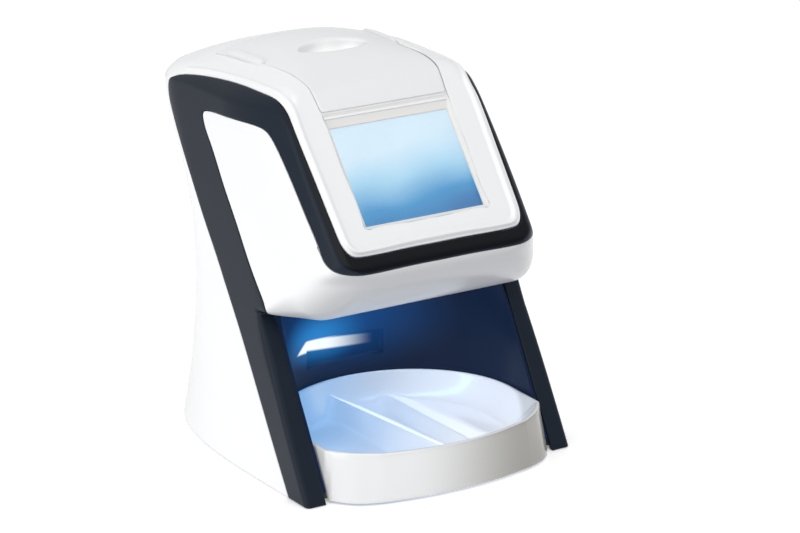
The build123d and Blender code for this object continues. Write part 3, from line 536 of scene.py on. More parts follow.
def material(name, color, roughness, metallic=0.0, coat=0.0, scale=60.0, bump=0.0, tint=0.04,
             emission=None, strength=0.0, transmission=0.0):
    """Principled material with a fine mottling of its colour and roughness, and a soft bump when given a
    strength for it.
    """
    made = bpy.data.materials.new(name)
    made.use_nodes = True
    tree = made.node_tree
    spots = {"Vector": coordinates(tree), "Scale": scale, "Detail": GRAIN_DETAIL}
    grain = add(tree, "TexNoise", spots, "Fac")
    mottled = ramp_of(tree, grain, ((0.0, [c * (1 - tint) for c in color]),
                                    (1.0, [min(c * (1 + tint), 1) for c in color])))
    rough = add(tree, "MapRange", {"Value": grain, "To Min": max(roughness - ROUGH_SPREAD, ROUGH_LEAST),
                                   "To Max": roughness + ROUGH_SPREAD}, "Result")
    inputs = {"Base Color": mottled, "Roughness": rough, "Metallic": metallic, "Coat Weight": coat,
              "Transmission Weight": transmission}
    if bump:
        relief = {"Strength": bump, "Distance": GRAIN_DEPTH * MM, "Height": grain}
        inputs["Normal"] = add(tree, "Bump", relief, "Normal")
    if emission:
        inputs["Emission Color"], inputs["Emission Strength"] = (*emission, 1), strength
    feed(shader_of(made), inputs)
    return made


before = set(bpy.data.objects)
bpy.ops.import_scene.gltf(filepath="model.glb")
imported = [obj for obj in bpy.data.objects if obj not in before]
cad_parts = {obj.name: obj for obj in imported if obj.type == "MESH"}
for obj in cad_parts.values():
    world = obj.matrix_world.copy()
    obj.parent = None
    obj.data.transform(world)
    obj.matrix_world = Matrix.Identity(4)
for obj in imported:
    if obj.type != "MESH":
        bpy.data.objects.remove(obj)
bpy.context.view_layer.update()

WHITE = material("housing_white", (0.84, 0.85, 0.865), 0.24, coat=0.3, scale=25.0, tint=0.006)
COVER = material("cover_white", (0.79, 0.80, 0.81), 0.34, coat=0.1, scale=25.0, tint=0.006)
SLATE = material("band_slate", (0.010, 0.016, 0.0265), 0.34, scale=90.0, tint=0.06)
feed(shader_of(SLATE), {"Specular IOR Level": 0.16})
LAMP = material("lamp_lens", (0.5, 0.75, 1.0), 0.3, emission=(0.25, 0.6, 1.0), strength=6.0)
RUBBER = material("foot_rubber", (0.02, 0.02, 0.022), 0.8, scale=400.0, bump=0.4)
DARK = material("base_dark", (0.03, 0.032, 0.036), 0.6, scale=300.0, bump=0.3)
STEEL = material("sheet_steel", (0.58, 0.59, 0.61), 0.32, metallic=1.0, scale=150.0)
BRASS = material("brass_parts", (0.72, 0.5, 0.24), 0.3, metallic=1.0, scale=120.0)
# Greyer, warmer copy of the housing white for the screen's sloped surround: painted shade of the screen's
# recess
BEVEL = material("screen_bevel", (0.76, 0.755, 0.745), 0.4, scale=25.0, tint=0.006)
BLACK = material("black_plastic", (0.02, 0.02, 0.023), 0.45, scale=250.0, bump=0.2)
BOARD = material("board_green", (0.012, 0.12, 0.05), 0.4, scale=180.0, tint=0.2)
PALE = material("pale_plastic", (0.72, 0.72, 0.68), 0.4, scale=200.0, bump=0.15)
MIRROR = material("mirror_face", (0.9, 0.92, 0.94), 0.03, metallic=1.0)
CLEAR = material("clear_part", (0.85, 0.93, 1.0), 0.08, transmission=0.9)
GLASS = material("touch_glass", (0.9, 0.94, 0.97), 0.04, transmission=0.96)
feed(shader_of(GLASS), {"IOR": 1.12})


def stepped(tree, amount, low, high):
    """Smooth step from 0 to 1 of an amount."""
    return add(tree, "MapRange", {"Value": amount, "From Min": low, "From Max": high}, "Result",
               interpolation_type="SMOOTHSTEP")


def blend_of(tree, place, weights, low, high, length=MM):
    """Smooth step from 0 to 1 of a weighted sum of the X, Y and Z of a place, counted in a length."""
    total = vector(tree, "DOT_PRODUCT", place, [w / length for w in weights], output="Value")
    return stepped(tree, total, low, high)


def product(tree, *factors):
    """Product of several values."""
    whole = factors[0]
    for factor in factors[1:]:
        whole = number(tree, "MULTIPLY", whole, factor)
    return whole


def halo(tree, place, middle, reach):
    """Value that falls smoothly from 1 at a place to 0 at an oval around it, in millimetres."""
    shift = vector(tree, "SUBTRACT", place, [m * MM for m in middle])
    stretch = vector(tree, "MULTIPLY", shift, [1 / (r * MM) for r in reach])
    return stepped(tree, vector(tree, "LENGTH", stretch, output="Value"), 1.0, 0.0)


def mixed(tree, share, first, second):
    """Mix of two colours, each plain or from a socket."""
    first, second = ((*c, 1) if isinstance(c, tuple) else c for c in (first, second))
    return add(tree, "Mix", {"Factor": share, 6: first, 7: second}, 2, data_type="RGBA")


# Painted light in the chamber, given off by its walls: a wide painted glow and its core, each as (middle,
# reach), and the edges of the bright streak, a painted reflection of the lamp, as (weights of X, Y and Z,
# start, end)
PAINTED_GLOW = ((0.0, 10.0, 54.0), (62.0, 70.0, 33.0))
PAINTED_GLOW_CORE = ((-14.0, 10.0, 48.0), (31.0, 40.0, 17.0))
PAINTED_REFLECTION_EDGES = (((0.06, 0.0, 1.0), 39.7, 41.1), ((-0.085, 0.0, -1.0), -46.2, -45.0),
                ((1.0, 0.0, -1.25), -83.0, -80.5), ((-1.0, 0.0, 0.0), -18.0, 12.0))
CHAMBER_DARK = (0.006, 0.012, 0.03)
PAINTED_GLOW_COLOR = (0.006, 0.06, 0.22)
PAINTED_GLOW_CORE_COLOR = (0.02, 0.22, 0.58)
PAINTED_REFLECTION_COLOR = (0.95, 1.0, 1.0)
CHAMBER_GLOSS = 0.07
WALL_Y = 12.5
SIGHT_share = (-0.639, -1.0, 0.386)


def on_wall(tree, place):
    """Coordinates slid along one line of sight onto the chamber's rear wall, so that the painted light on the
    guide lines up with the wall's.
    """
    depth = vector(tree, "DOT_PRODUCT", place, REAR, output="Value")
    behind = number(tree, "SUBTRACT", depth, WALL_Y * MM)
    shift = add(tree, "VectorMath", {0: SIGHT_share, "Scale": behind}, "Vector", operation="SCALE")
    return vector(tree, "ADD", place, shift)


def lit(made, color):
    """Let a material give off a colour."""
    feed(shader_of(made), {"Emission Color": color, "Emission Strength": 1.0})
    return made


def chamber_material(name, slid=False):
    """Glossy navy wall with painted light: a painted blue glow around a painted reflection of the lamp."""
    made = material(name, (0.003, 0.007, 0.02), 0.2, scale=30.0, tint=0.15)
    feed(shader_of(made), {"Specular IOR Level": CHAMBER_GLOSS})
    tree = made.node_tree
    place = on_wall(tree, coordinates(tree)) if slid else coordinates(tree)
    color = mixed(tree, halo(tree, place, *PAINTED_GLOW), CHAMBER_DARK, PAINTED_GLOW_COLOR)
    color = mixed(tree, halo(tree, place, *PAINTED_GLOW_CORE), color, PAINTED_GLOW_CORE_COLOR)
    # Painted reflection of the lamp: a bright streak given off by the wall
    painted_reflection = product(tree, *[blend_of(tree, place, *edge) for edge in PAINTED_REFLECTION_EDGES])
    return lit(made, mixed(tree, painted_reflection, color, PAINTED_REFLECTION_COLOR))


# Painted light in the tray, given off by it: its dish as (middle, reach), and steps across, to the rear and
# beyond the left ridge as (weights of X, Y and Z, start, end)
DISH = ((0.0, -40.0, 24.0), (64.0, 57.0, 80.0))
DISH_EDGE_share = 0.012
ACROSS = ((1.0, -0.25, 0.0), -45.0, 45.0)
REARWARD = ((0.3, 1.0, 0.0), -75.0, 20.0)
BEYOND = (SIDE, -28.0, -12.0)
SLOPE_RANGE = (0.1, 0.5)
PAINTED_LAMP_BLUE = (0.015, 0.15, 0.37)
PAINTED_LIGHT_NEAR = (0.17, 0.19, 0.24)
PAINTED_LIGHT_FAR = (0.42, 0.44, 0.5)
PAINTED_SLOPE_HIGHLIGHT = (0.56, 0.6, 0.68)


def tray_material():
    """Frosted white dish with painted light of the chamber's lamp: painted blue at its left and whiter at its
    right.
    """
    made = material("tray_frost", (0.78, 0.785, 0.79), 0.2, coat=0.4, scale=20.0, tint=0.006)
    tree = made.node_tree
    place = coordinates(tree)
    # The painted light is given off only inside the dish
    inside = stepped(tree, halo(tree, place, *DISH), 0.0, DISH_EDGE_share)
    # Painted light, dimmer near the front and paler toward the rear
    pale = mixed(tree, blend_of(tree, place, *REARWARD), PAINTED_LIGHT_NEAR, PAINTED_LIGHT_FAR)
    color = mixed(tree, blend_of(tree, place, *ACROSS), PAINTED_LAMP_BLUE, pale)
    # Painted highlight on the slopes that face right, beyond the left ridge
    slope = blend_of(tree, coordinates(tree, "Normal"), SIDE, *SLOPE_RANGE, length=1.0)
    color = mixed(tree, product(tree, slope, blend_of(tree, place, *BEYOND)), color, PAINTED_SLOPE_HIGHLIGHT)
    return lit(made, mixed(tree, inside, (0.0, 0.0, 0.0), color))


SKY_STOPS = ((0.1, (0.01, 0.15, 0.4)), (0.34, (0.03, 0.28, 0.58)), (0.62, (0.4, 0.68, 0.87)),
             (0.92, (0.72, 0.87, 0.97)))
SKY_SLOPE = -3.2
HAZE_SCALE = 28.0
HAZE_share = 0.5


def display_material():
    """Lit screen: a plain gradient from pale sky at the top to deep blue at the bottom."""
    made = material("display_lit", (0.02, 0.03, 0.04), 0.25, coat=0.3)
    tree = made.node_tree
    place = coordinates(tree)
    across, height = (add(tree, "SeparateXYZ", {"Vector": place}, axis) for axis in "XZ")
    haze = add(tree, "TexNoise", {"Vector": place, "Scale": HAZE_SCALE, "Detail": 1.0}, "Fac")
    low, high = ((PANEL_MID[2] + sign * SCREEN_HALF[1] * PANEL_UP[2]) * MM for sign in (-1, 1))
    level = add(tree, "MapRange", {"Value": height, "From Min": low, "From Max": high}, "Result")
    slope = number(tree, "MULTIPLY_ADD", across, SKY_SLOPE, level)
    cloud = number(tree, "MULTIPLY_ADD", haze, HAZE_share, slope)
    return lit(made, ramp_of(tree, cloud, SKY_STOPS))


DISPLAY = display_material()
NAVY = chamber_material("liner_gloss")
GUIDE = chamber_material("guide_gloss_painted_glow", slid=True)
TRAY = tray_material()

WEARERS = (
    (WHITE, "rear_housing lower_hood front_frame"), (COVER, "top_cover"),
    (SLATE, "side_band_left side_band_right chin_band"), (RUBBER, "feet drive_belt"), (NAVY, "chamber_liner"),
    (TRAY, "receiving_tray"), (LAMP, "chamber_lamp eraser_lamp"), (GLASS, "touch_glass"),
    (DISPLAY, "display_module"), (BRASS, "roller_bushes laser_module board_posts"), (MIRROR, "scan_mirror"),
    (BLACK, "optics_bench mirror_scanner laser_mount connector_panel power_inlet button_switch entry_funnel"),
    (CLEAR, "light_guide"), (BOARD, "main_board power_board"), (GUIDE, "exit_guide"),
    (PALE, "power_button upper_drive_pulley lower_drive_pulley motor_pulley"),
    (DARK, "base_plate upper_drive_roller upper_pinch_roller lower_drive_roller lower_pinch_roller "
           "transport_motor"),
)
WORN = {node: made for made, nodes in WEARERS for node in nodes.split()}
for node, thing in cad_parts.items():
    thing.data.materials.clear()
    thing.data.materials.append(WORN.get(node, STEEL))

# Painted shade of the plastics, darker where their faces turn from the light, as (way that a face looks,
# range of it, colour), with a direction and the places along it between which the painted shade begins where
# it isn't everywhere
# Painted shade on the nose's underside and other white faces that look down and ahead
NOSE_PAINTED_SHADE = ((-0.1, -0.72, -0.7), (0.1, 0.95), (0.47, 0.475, 0.49))
# Painted shade on white faces that look back and to the side
REAR_PAINTED_SHADE = ((-0.35, 0.94, 0.0), (0.35, 1.0), (0.67, 0.675, 0.68))
# Painted shade, near black, on the dark band where it faces ahead and up, high on the case
BROW_PAINTED_SHADE = ((-0.1, -0.78, 0.62), (0.8, 0.97), (0.002, 0.003, 0.005), UP, (92.0, 108.0))
# Painted shade on the tray's front wall, darker toward its right
TRAY_FRONT_PAINTED_SHADE = ((0.25, -0.97, 0.0), (0.35, 0.9), (0.33, 0.32, 0.295), SIDE, (-30.0, 42.0))
# Painted highlight: the cover whitened around its entry recess
ENTRY_PAINTED_LIGHT = ((2.0, 22.0, 192.0), (22.0, 11.0, 40.0))
ENTRY_PAINTED_LIGHT_COLOR = (1.0, 1.0, 1.0)


def recolored(made, share, color):
    """Mix a colour into a material's own."""
    base = shader_of(made).inputs["Base Color"].links[0].from_socket
    feed(shader_of(made), {"Base Color": mixed(made.node_tree, share, base, color)})


def paint_shade(made, facing, limits, color, along=None, places=None):
    """Paint shade into a plastic: another colour where it faces one way, and only further along a direction
    if given.
    """
    tree = made.node_tree
    share = blend_of(tree, coordinates(tree, "Normal"), facing, *limits, length=1.0)
    if along:
        share = product(tree, share, blend_of(tree, coordinates(tree), along, *places))
    recolored(made, share, color)


for made, shade in ((WHITE, NOSE_PAINTED_SHADE), (WHITE, REAR_PAINTED_SHADE), (SLATE, BROW_PAINTED_SHADE), (TRAY, TRAY_FRONT_PAINTED_SHADE)):
    paint_shade(made, *shade)
# Painted highlight around the cover's entry recess
recolored(COVER, halo(COVER.node_tree, coordinates(COVER.node_tree), *ENTRY_PAINTED_LIGHT), ENTRY_PAINTED_LIGHT_COLOR)

# Rails of the dark loop, as (point, outward direction); a side point's X is only a start
SIDE_X = 60.0


def on_side(points, out=SIDE):
    return [((SIDE_X, y, z), out) for y, z in points]


def on_panel(points):
    return [(tuple(panel_point(x, s)), tuple(PANEL_OUT)) for x, s in points]


LOOP_LEG = ((-59.1, 0.8), (-31.6, 43.7), (-3.3, 82.3))
LOOP_REAR = ((-0.2, 86.0), (11.6, 100.0), (26.3, 115.8), (39.8, 130.7), (53.8, 145.3), (66.7, 159.3))
LOOP_CORNER = ((71.8, 167.6), (71.4, 172.7), (66.8, 175.4))
LOOP_TOP = (((59.8, 61.0, 177.0), (0.69, 0.05, 0.72)), ((57.3, 43.2, 179.6), (0.6, 0.0, 0.8)),
            ((55.4, 27.2, 180.9), (0.53, 0.0, 0.85)), ((54.1, 10.6, 181.5), (0.5, -0.03, 0.86)),
            ((53.2, -3.7, 181.2), (0.56, -0.08, 0.82)))
FRONT_TURN = (((52.6, -10.0, 180.9), (0.59, -0.11, 0.8)), ((52.3, -15.1, 180.2), (0.59, -0.2, 0.78)),
              ((51.9, -20.2, 178.3), (0.54, -0.44, 0.7)), ((51.5, -23.6, 175.8), (0.46, -0.58, 0.68)),
              ((51.7, -27.6, 172.1), (0.42, -0.62, 0.66)))
PANEL_EDGE = ((51.8, 20.0), (51.3, 4.0), (50.9, -12.0), (50.5, -26.0))
PANEL_CORNER = ((49.4, -34.5), (46.4, -38.9), (41.5, BEZEL_LOW))
PANEL_LOW = ((20.0, BEZEL_LOW), (0.0, BEZEL_LOW))

LEG_TURN = ((-31.2, 84.0), (-33.6, 84.1), (-35.2, 84.9), (-35.2, 86.8))
WINDOW_REAR = ((-33.5, 89.4), (-26.5, 96.6), (-18.0, 105.6), (-4.7, 120.6), (8.4, 134.2), (24.3, 151.3))
WINDOW_CORNER = ((34.0, 161.6), (35.2, 164.6), (32.0, 165.9))
WINDOW_TOP = ((20.0, 166.9), (3.6, 167.5), (-9.0, 167.5))
WINDOW_TURN = ((-15.5, 166.5), (-21.0, 163.3))
WINDOW_FRONT = ((-27.5, 157.5), (-38.6, 146.0), (-51.0, 132.0), (-60.0, 121.3))
CHIN_TURN = (((58.0, -66.0, 114.4), (1.0, -0.15, 0.0)), ((54.0, -72.5, 111.0), (0.8, -0.6, 0.0)),
             ((47.0, -77.0, 109.8), (0.3, -1.0, 0.0)))
CHIN_LOW = (((20.0, -78.0, 109.8), (0.0, -1.0, 0.0)), ((0.0, -78.0, 109.8), (0.0, -1.0, 0.0)))

OUTER = (on_side(LOOP_LEG) + on_side(LOOP_REAR) + on_side(LOOP_CORNER) + list(LOOP_TOP)
         + list(FRONT_TURN) + on_panel(PANEL_EDGE + PANEL_CORNER + PANEL_LOW))
OUTER_BREAKS = (0, 2, 3, 8, 12, 16, 22, 25, 28, 30)
LEG_LINE = (((74.5, line_y(0.8) + 1.0, 0.8), DIAGONAL), ((74.0, line_y(43.7) + 1.0, 43.7), DIAGONAL),
            ((72.0, line_y(82.0) + 0.6, 82.0), (1.0, -0.7, 0.0)))
WINDOW = WINDOW_REAR + WINDOW_CORNER + WINDOW_TOP + WINDOW_TURN + WINDOW_FRONT
INNER = list(LEG_LINE) + on_side(LEG_TURN + WINDOW) + list(CHIN_TURN) + list(CHIN_LOW)
INNER_BREAKS = (0, 2, 6, 12, 15, 18, 20, 24, 27, 29)
LOOP_COUNTS = (40, 16, 42, 16, 30, 14, 40, 16, 16)
KNEE_DROP = 0.3

outer = rail(OUTER, OUTER_BREAKS, LOOP_COUNTS)
inner = rail(INNER, INNER_BREAKS, LOOP_COUNTS)
COUNT_SIDE = sum(LOOP_COUNTS[:8]) + 1
KNEE = LOOP_COUNTS[0] + int(np.argmin(inner[0][LOOP_COUNTS[0]:sum(LOOP_COUNTS[:2]) + 1, 1]))
LEG_END = int(np.argmax(inner[0][:, 2] > LEG_TOP - KNEE_DROP)) - 1


def part_of(line, first, last=None):
    return line[0][first:last], line[1][first:last]


def settled(grid):
    """The same grid, kept off the table."""
    return np.maximum(grid, (-np.inf, -np.inf, TABLE_GAP))


BAND_COLUMNS = 22
LEG_COLUMNS = 12
EASE_STATIONS = 3
ease = np.clip((np.arange(len(inner[0])) - LEG_END) / EASE_STATIONS, 0, 1) * MARGIN
band = strip(outer, inner, BAND_COLUMNS, roll_b=False, margin_b=ease)
band_high = roll_edge(band[LEG_END:], first=False)
leg_line = part_of(inner, 0, LEG_END + 1)
front_edge = np.array(leg_line[0])
front_edge[:, 0] = LEG_INNER
front_edge[:, 1] = line_y(front_edge[:, 2])
front_out = np.tile(unit((0.0, -1.0, LINE_LEAN_share)), (LEG_END + 1, 1))
leg_front = strip(leg_line, (cast(front_edge, front_out), front_out), LEG_COLUMNS, roll_a=False)
leg = np.concatenate([band[:LEG_END + 1, :-1], leg_front], axis=1)
leg = settled(roll_edge(leg, first=True, axis=0))

SIDE_STATIONS = COUNT_SIDE - LEG_END
halves = [band_high[:SIDE_STATIONS], leg]
for side, grids in (("left", [mirrored(half) for half in halves]), ("right", halves)):
    from_grids(f"band_{side}", grids, SLATE, "housing", slot="band_slate", replaces=(f"side_band_{side}",))
chin_grid = both_halves(band_high[SIDE_STATIONS - 1:])
from_grids("chin_strip", [chin_grid], SLATE, "housing", slot="band_slate", replaces=("chin_band",))

# White hood: a side panel inside each loop, and the nose below them


def along(line, count):
    """The same line at evenly spaced stations."""
    places, outs = line
    knots = chords(places)
    t = np.linspace(0, knots[-1], count)
    return read(places, knots, t), unit(read(outs, knots, t))


def inward(grid, first, last):
    """Grid with evenly spaced columns that begin and end at a distance from its own."""
    lines = []
    for row in grid:
        knots = chords(row[:, :3])
        lines.append(read(row, knots, np.linspace(first, knots[-1] - last, len(row))))
    return np.stack(lines)


def patch(low, high, near, far):
    """Grid on the case between four lines, with a margin to all but the low one; near and far run up."""
    rows, columns = len(near[0]), len(low[0])
    blend = []
    for k in (0, 1):
        u = np.linspace(0, 1, columns)[None, :, None]
        v = np.linspace(0, 1, rows)[:, None, None]
        sides = (1 - u) * near[k][:, None] + u * far[k][:, None] + (1 - v) * low[k][None] + v * high[k][None]
        ends = ((1 - u) * (1 - v) * low[k][0] + u * (1 - v) * low[k][-1]
                + (1 - u) * v * high[k][0] + u * v * high[k][-1])
        blend.append(sides - ends)
    both = inward(np.concatenate([blend[0], unit(blend[1])], axis=2), MARGIN, MARGIN)
    both = inward(both.transpose(1, 0, 2), 0.0, MARGIN).transpose(1, 0, 2)
    return cast(both[..., :3], unit(both[..., 3:]))


CORNER_MID = sum(LOOP_COUNTS[:3]) + LOOP_COUNTS[3] // 2
TURN_MID = sum(LOOP_COUNTS[:5]) + LOOP_COUNTS[5] // 2
CHIN_START = sum(LOOP_COUNTS[:7])
PATCH_ROWS = 56
PATCH_COLUMNS = 44
NOSE_COLUMNS = 36
NOSE_BACK = 10.0
CHIN_BACK = 6
CHIN_LEDGE = (0.05, 1.2, 2.4)
LEDGE_DEPTH = 1.0
near = along(part_of(inner, KNEE, CORNER_MID + 1), PATCH_ROWS)
far_up = along(part_of(inner, TURN_MID, CHIN_START + 1), PATCH_ROWS)
far = (far_up[0][::-1], far_up[1][::-1])
high = along(part_of(inner, CORNER_MID, TURN_MID + 1), PATCH_COLUMNS)
shares = np.linspace(0, 1, PATCH_COLUMNS)[:, None]
low = ((1 - shares) * near[0][0] + shares * far[0][0], unit((1 - shares) * near[1][0] + shares * far[1][0]))
panel = patch(low, high, near, far)


def downward(places, outs):
    """Directions on the case, square to a line of it and down."""
    down = unit(np.cross(outs, unit(np.gradient(places, axis=0))))
    return down * -np.sign(down[:, 2:3])


chin_places, chin_outs = part_of(inner, CHIN_START + 2)
chin_down = downward(chin_places, chin_outs)
nose_top = (np.concatenate([panel[0], cast(chin_places + chin_down * SEAM, chin_outs)]),
            np.concatenate([low[1], chin_outs]))
LOW_EDGE = np.array(((67.5, -35.5, LEG_TOP), (63.0, -42.0, LEG_TOP), (54.0, -49.0, LEG_TOP),
                     (40.0, -51.0, LEG_TOP), (0.0, -51.0, LEG_TOP)))
low_knots = chords(LOW_EDGE)
knots = chords(nose_top[0])
t = low_knots[-1] * knots / knots[-1]
low_out = np.tile(DOWN, (len(t), 1))
nose_low = (cast(Cubic(low_knots, LOW_EDGE)(t), low_out, back=NOSE_BACK), low_out)
nose = strip(nose_top, nose_low, NOSE_COLUMNS, roll_a=False, roll_b=False)
nose[:PATCH_COLUMNS, 0] = panel[0]
nose[PATCH_COLUMNS:, 0] = nose_top[0][PATCH_COLUMNS:]
ledge_places, ledge_outs = part_of(inner, CHIN_START - CHIN_BACK)
ledge_down = downward(ledge_places, ledge_outs)
chin_ledge = np.stack([cast(ledge_places + ledge_down * step, ledge_outs) - ledge_outs * LEDGE_DEPTH
                       for step in CHIN_LEDGE], axis=1)
from_grids("chin_ledge", [chin_ledge, mirrored(chin_ledge)], WHITE, "housing", slot="housing_white")
for first, axis in ((True, 1), (False, 1), (False, 0)):
    panel = roll_edge(panel, first, axis)
from_grids("hood_skin", [panel, mirrored(panel), both_halves(nose)], WHITE, "housing", slot="housing_white",
           replaces=("lower_hood",))

# White rear housing: from the loops' rear edges round the back, and over the top behind the cover
REAR_STATIONS = sum(LOOP_COUNTS[:4]) + 1
REAR_COLUMNS = 44
SPINE_START_Y = 62.0
SPINE_TOP = (((0.0, 92.0, 159.3), (0.0, 1.0, 0.05)), ((0.0, 91.0, 172.6), (0.0, 1.0, 0.4)),
             ((0.0, 84.0, 184.5), (0.0, 0.7, 0.8)), ((0.0, 73.0, 191.0), (0.0, 0.25, 1.0)),
             ((0.0, 62.0, 194.0), (0.0, 0.0, 1.0)))
SPINE_BREAKS = (0, 4)
LAST_OUT = (1.0, 0.0, 0.5)
rear_seam = part_of(outer, 0, REAR_STATIONS)
straight = sum(LOOP_COUNTS[:3])
levels = rear_seam[0][:straight, 2]
spine_low = np.stack([np.zeros(straight), np.full(straight, SPINE_START_Y), levels], axis=1)
back_out = np.tile(REAR, (straight, 1))
spine_top = rail(SPINE_TOP, SPINE_BREAKS, LOOP_COUNTS[3:4])
spine = (np.concatenate([cast(spine_low, back_out), spine_top[0]]), np.concatenate([back_out, spine_top[1]]))
rear_seam[1][-1] = unit(LAST_OUT)
rear_half = strip(rear_seam, spine, REAR_COLUMNS, roll_b=False)
rear_full = np.concatenate([rear_half, mirrored(rear_half)[:, 1:]], axis=1)
rear_full = settled(roll_edge(roll_edge(rear_full, first=True, axis=0), first=False, axis=0))
rear_skin = from_grids("rear_skin", [rear_full], WHITE, "housing", slot="housing_white",
                       replaces=("rear_housing",))


def open_window(thing, node):
    """Open a skin around a node, square to X and Z."""
    low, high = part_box(node)
    behind_y = low[1] / 2
    work = bmesh.new()
    work.from_mesh(thing.data)
    for axis in (0, 2):
        across = Vector([float(k == axis) for k in range(3)])
        for place in (low[axis], high[axis]):
            near = [face for face in work.faces if face.calc_center_median().y > behind_y]
            lines = {edge for face in near for edge in face.edges}
            dots = {vert for face in near for vert in face.verts}
            bmesh.ops.bisect_plane(work, geom=[*near, *lines, *dots], plane_co=across * place,
                                   plane_no=across)
    inside = []
    for face in work.faces:
        x, y, z = face.calc_center_median()
        if low[0] < x < high[0] and low[2] < z < high[2] and y > behind_y:
            inside.append(face)
    bmesh.ops.delete(work, geom=inside, context="FACES")
    work.to_mesh(thing.data)
    work.free()


open_window(rear_skin, "connector_panel")

# White front frame: the shoulders beside the cover and the surround of the screen
OPEN_HALF = SCREEN_HALF[0] + BEVEL_SIDE
OPEN_TOP = SCREEN_HALF[1] + BEVEL_TOP
OPEN_LOW = -SCREEN_HALF[1] - BEVEL_SIDE
OPEN_START = 26.0
OPEN_MIDDLE = 15.0
OPEN_TURN = ((0.0, 4.0), (0.2, 0.8), (0.8, 0.2), (4.0, 0.0))
COVER_HALF = Cubic(COVER_DEPTHS, COVER_HALVES)
CROWN_START_Z = 180.0
EDGE_DEPTHS = (*np.linspace(COVER_REAR_Y, -4.0, 17), -9.0, -14.0, -19.0, -23.5)
COVER_EDGE = [((float(COVER_HALF(y)), y, CROWN_START_Z), UP) for y in EDGE_DEPTHS]
OPENING = on_panel(((COVER_HALVES[0], COVER_FRONT_S), (OPEN_HALF, OPEN_START), (OPEN_HALF, 0.0),
                    *[(OPEN_HALF - inward, OPEN_LOW + upward) for inward, upward in OPEN_TURN],
                    (OPEN_MIDDLE, OPEN_LOW), (0.0, OPEN_LOW)))
FRAME_BREAKS = (0, 16, 22, 24, 27, 29)
FRAME_COLUMNS = 34
frame_inner = rail(COVER_EDGE + OPENING, FRAME_BREAKS, LOOP_COUNTS[4:])
frame_outer = part_of(outer, REAR_STATIONS - 1)
LIP_HEIGHT = 0.9
LIP_WIDTH = 5.0


def lip(distance):
    """Soft raised rim beside the dark loop."""
    return LIP_HEIGHT * np.sin(np.pi * np.clip(distance / LIP_WIDTH, 0, 1)) ** 2


frame_half = strip(frame_outer, frame_inner, FRAME_COLUMNS, roll_b=False, bead=lip)
from_grids("front_surround", [both_halves(frame_half)], WHITE, "housing", slot="housing_white",
           replaces=("front_frame",))

# Sloped surround of the screen, from the panel down to the glass: (way inward, way down) of its rings
BEVEL_STEPS = ((0.0, 0.0), (0.04, 0.12), (0.1, 0.3), (0.5, 0.75), (0.93, 0.97), (1.0, 1.0))
BEVEL_ROUND = (1.2, 0.5)
ARC_STEPS = 7
EDGE_STEPS = 10


def rounded_rectangle(half_x, low, high, radius):
    """Closed outline on the panel, as (across, up) points, the same count for every size."""
    points = []
    for x, s, start in ((half_x - radius, high - radius, 0), (-half_x + radius, high - radius, 90),
                        (-half_x + radius, low + radius, 180), (half_x - radius, low + radius, 270)):
        turns = np.radians(start + 90 * np.arange(ARC_STEPS + 1) / ARC_STEPS)
        points.append((x, s) + radius * compass(turns))
    edges = [np.linspace(arc[-1], after[0], EDGE_STEPS + 1)[1:-1]
             for arc, after in zip(points, points[1:] + points[:1])]
    return np.concatenate([part for pair in zip(points, edges) for part in pair])


def bevel_ring():
    wide = rounded_rectangle(OPEN_HALF, OPEN_LOW, OPEN_TOP, BEVEL_ROUND[0])
    narrow = rounded_rectangle(SCREEN_HALF[0], -SCREEN_HALF[1], SCREEN_HALF[1], BEVEL_ROUND[1])
    rings = [(wide * (1 - inward) + narrow * inward, BEVEL_DEPTH * down) for inward, down in BEVEL_STEPS]
    rings.append((narrow, GLASS_DEPTH))
    return np.stack([panel_point(points[:, 0], points[:, 1], depth) for points, depth in rings], axis=1)


# The bevel wears the greyer copy of the housing white, as painted shade
from_grids("screen_bevel", [bevel_ring()], BEVEL, "housing", closed=True, slot="housing_white")

# Top cover: rings from the oval entry out to its seams
ENTRY_MID = np.array((0.0, 19.0))
ENTRY_HALF = np.array((19.0, 9.0))
SLOT_HALF = np.array((17.0, 2.6))
SLOT_DEPTH = 4.0
RECESS_DEPTH = 5.5
RECESS_ROWS = 7
RECESS_POWER = 1.6
RECESS_MIX_POWER = 0.7
FLUTES = 3
FLUTE_DEPTH = 2.2
FLUTE_START = 0.2
CORNER_CUT = 0.8
COVER_COUNT = 200
COVER_ROWS = 26
COVER_POWER = 1.15
ROOF_START_Z = 150.0
LEDGE_HALF = 1.4


def cover_outline():
    """Points along the cover's outline from above, its corners slightly rounded."""
    low_y, high_y = float(panel_point(0, COVER_FRONT_S)[1]) + MARGIN, COVER_REAR_Y - MARGIN
    ys = np.linspace(low_y + CORNER_CUT, high_y - CORNER_CUT, COVER_COUNT // 3)
    side = [(float(COVER_HALF(y)) - MARGIN, y) for y in ys]
    low_x, high_x = side[0][0] - CORNER_CUT, side[-1][0] - CORNER_CUT
    half = [(0.0, low_y), (low_x / 2, low_y), (low_x, low_y), *side, (high_x, high_y), (high_x / 2, high_y),
            (0.0, high_y)]
    line = np.array(half + [(-x, y) for x, y in half[::-1][1:-1]])
    line = np.vstack([line, line[:1]])
    knots = chords(line)
    return read(line, knots, np.unique(np.concatenate([np.linspace(0, knots[-1], COVER_COUNT), knots]))[:-1])


def on_roof(plan, depth=0.0):
    """Points of the crown above a plan position."""
    start = np.concatenate([plan, np.full((*plan.shape[:-1], 1), ROOF_START_Z)], axis=-1)
    place = cast(start, np.broadcast_to(UP, start.shape), back=0.0)
    place[..., 2] -= depth
    return place


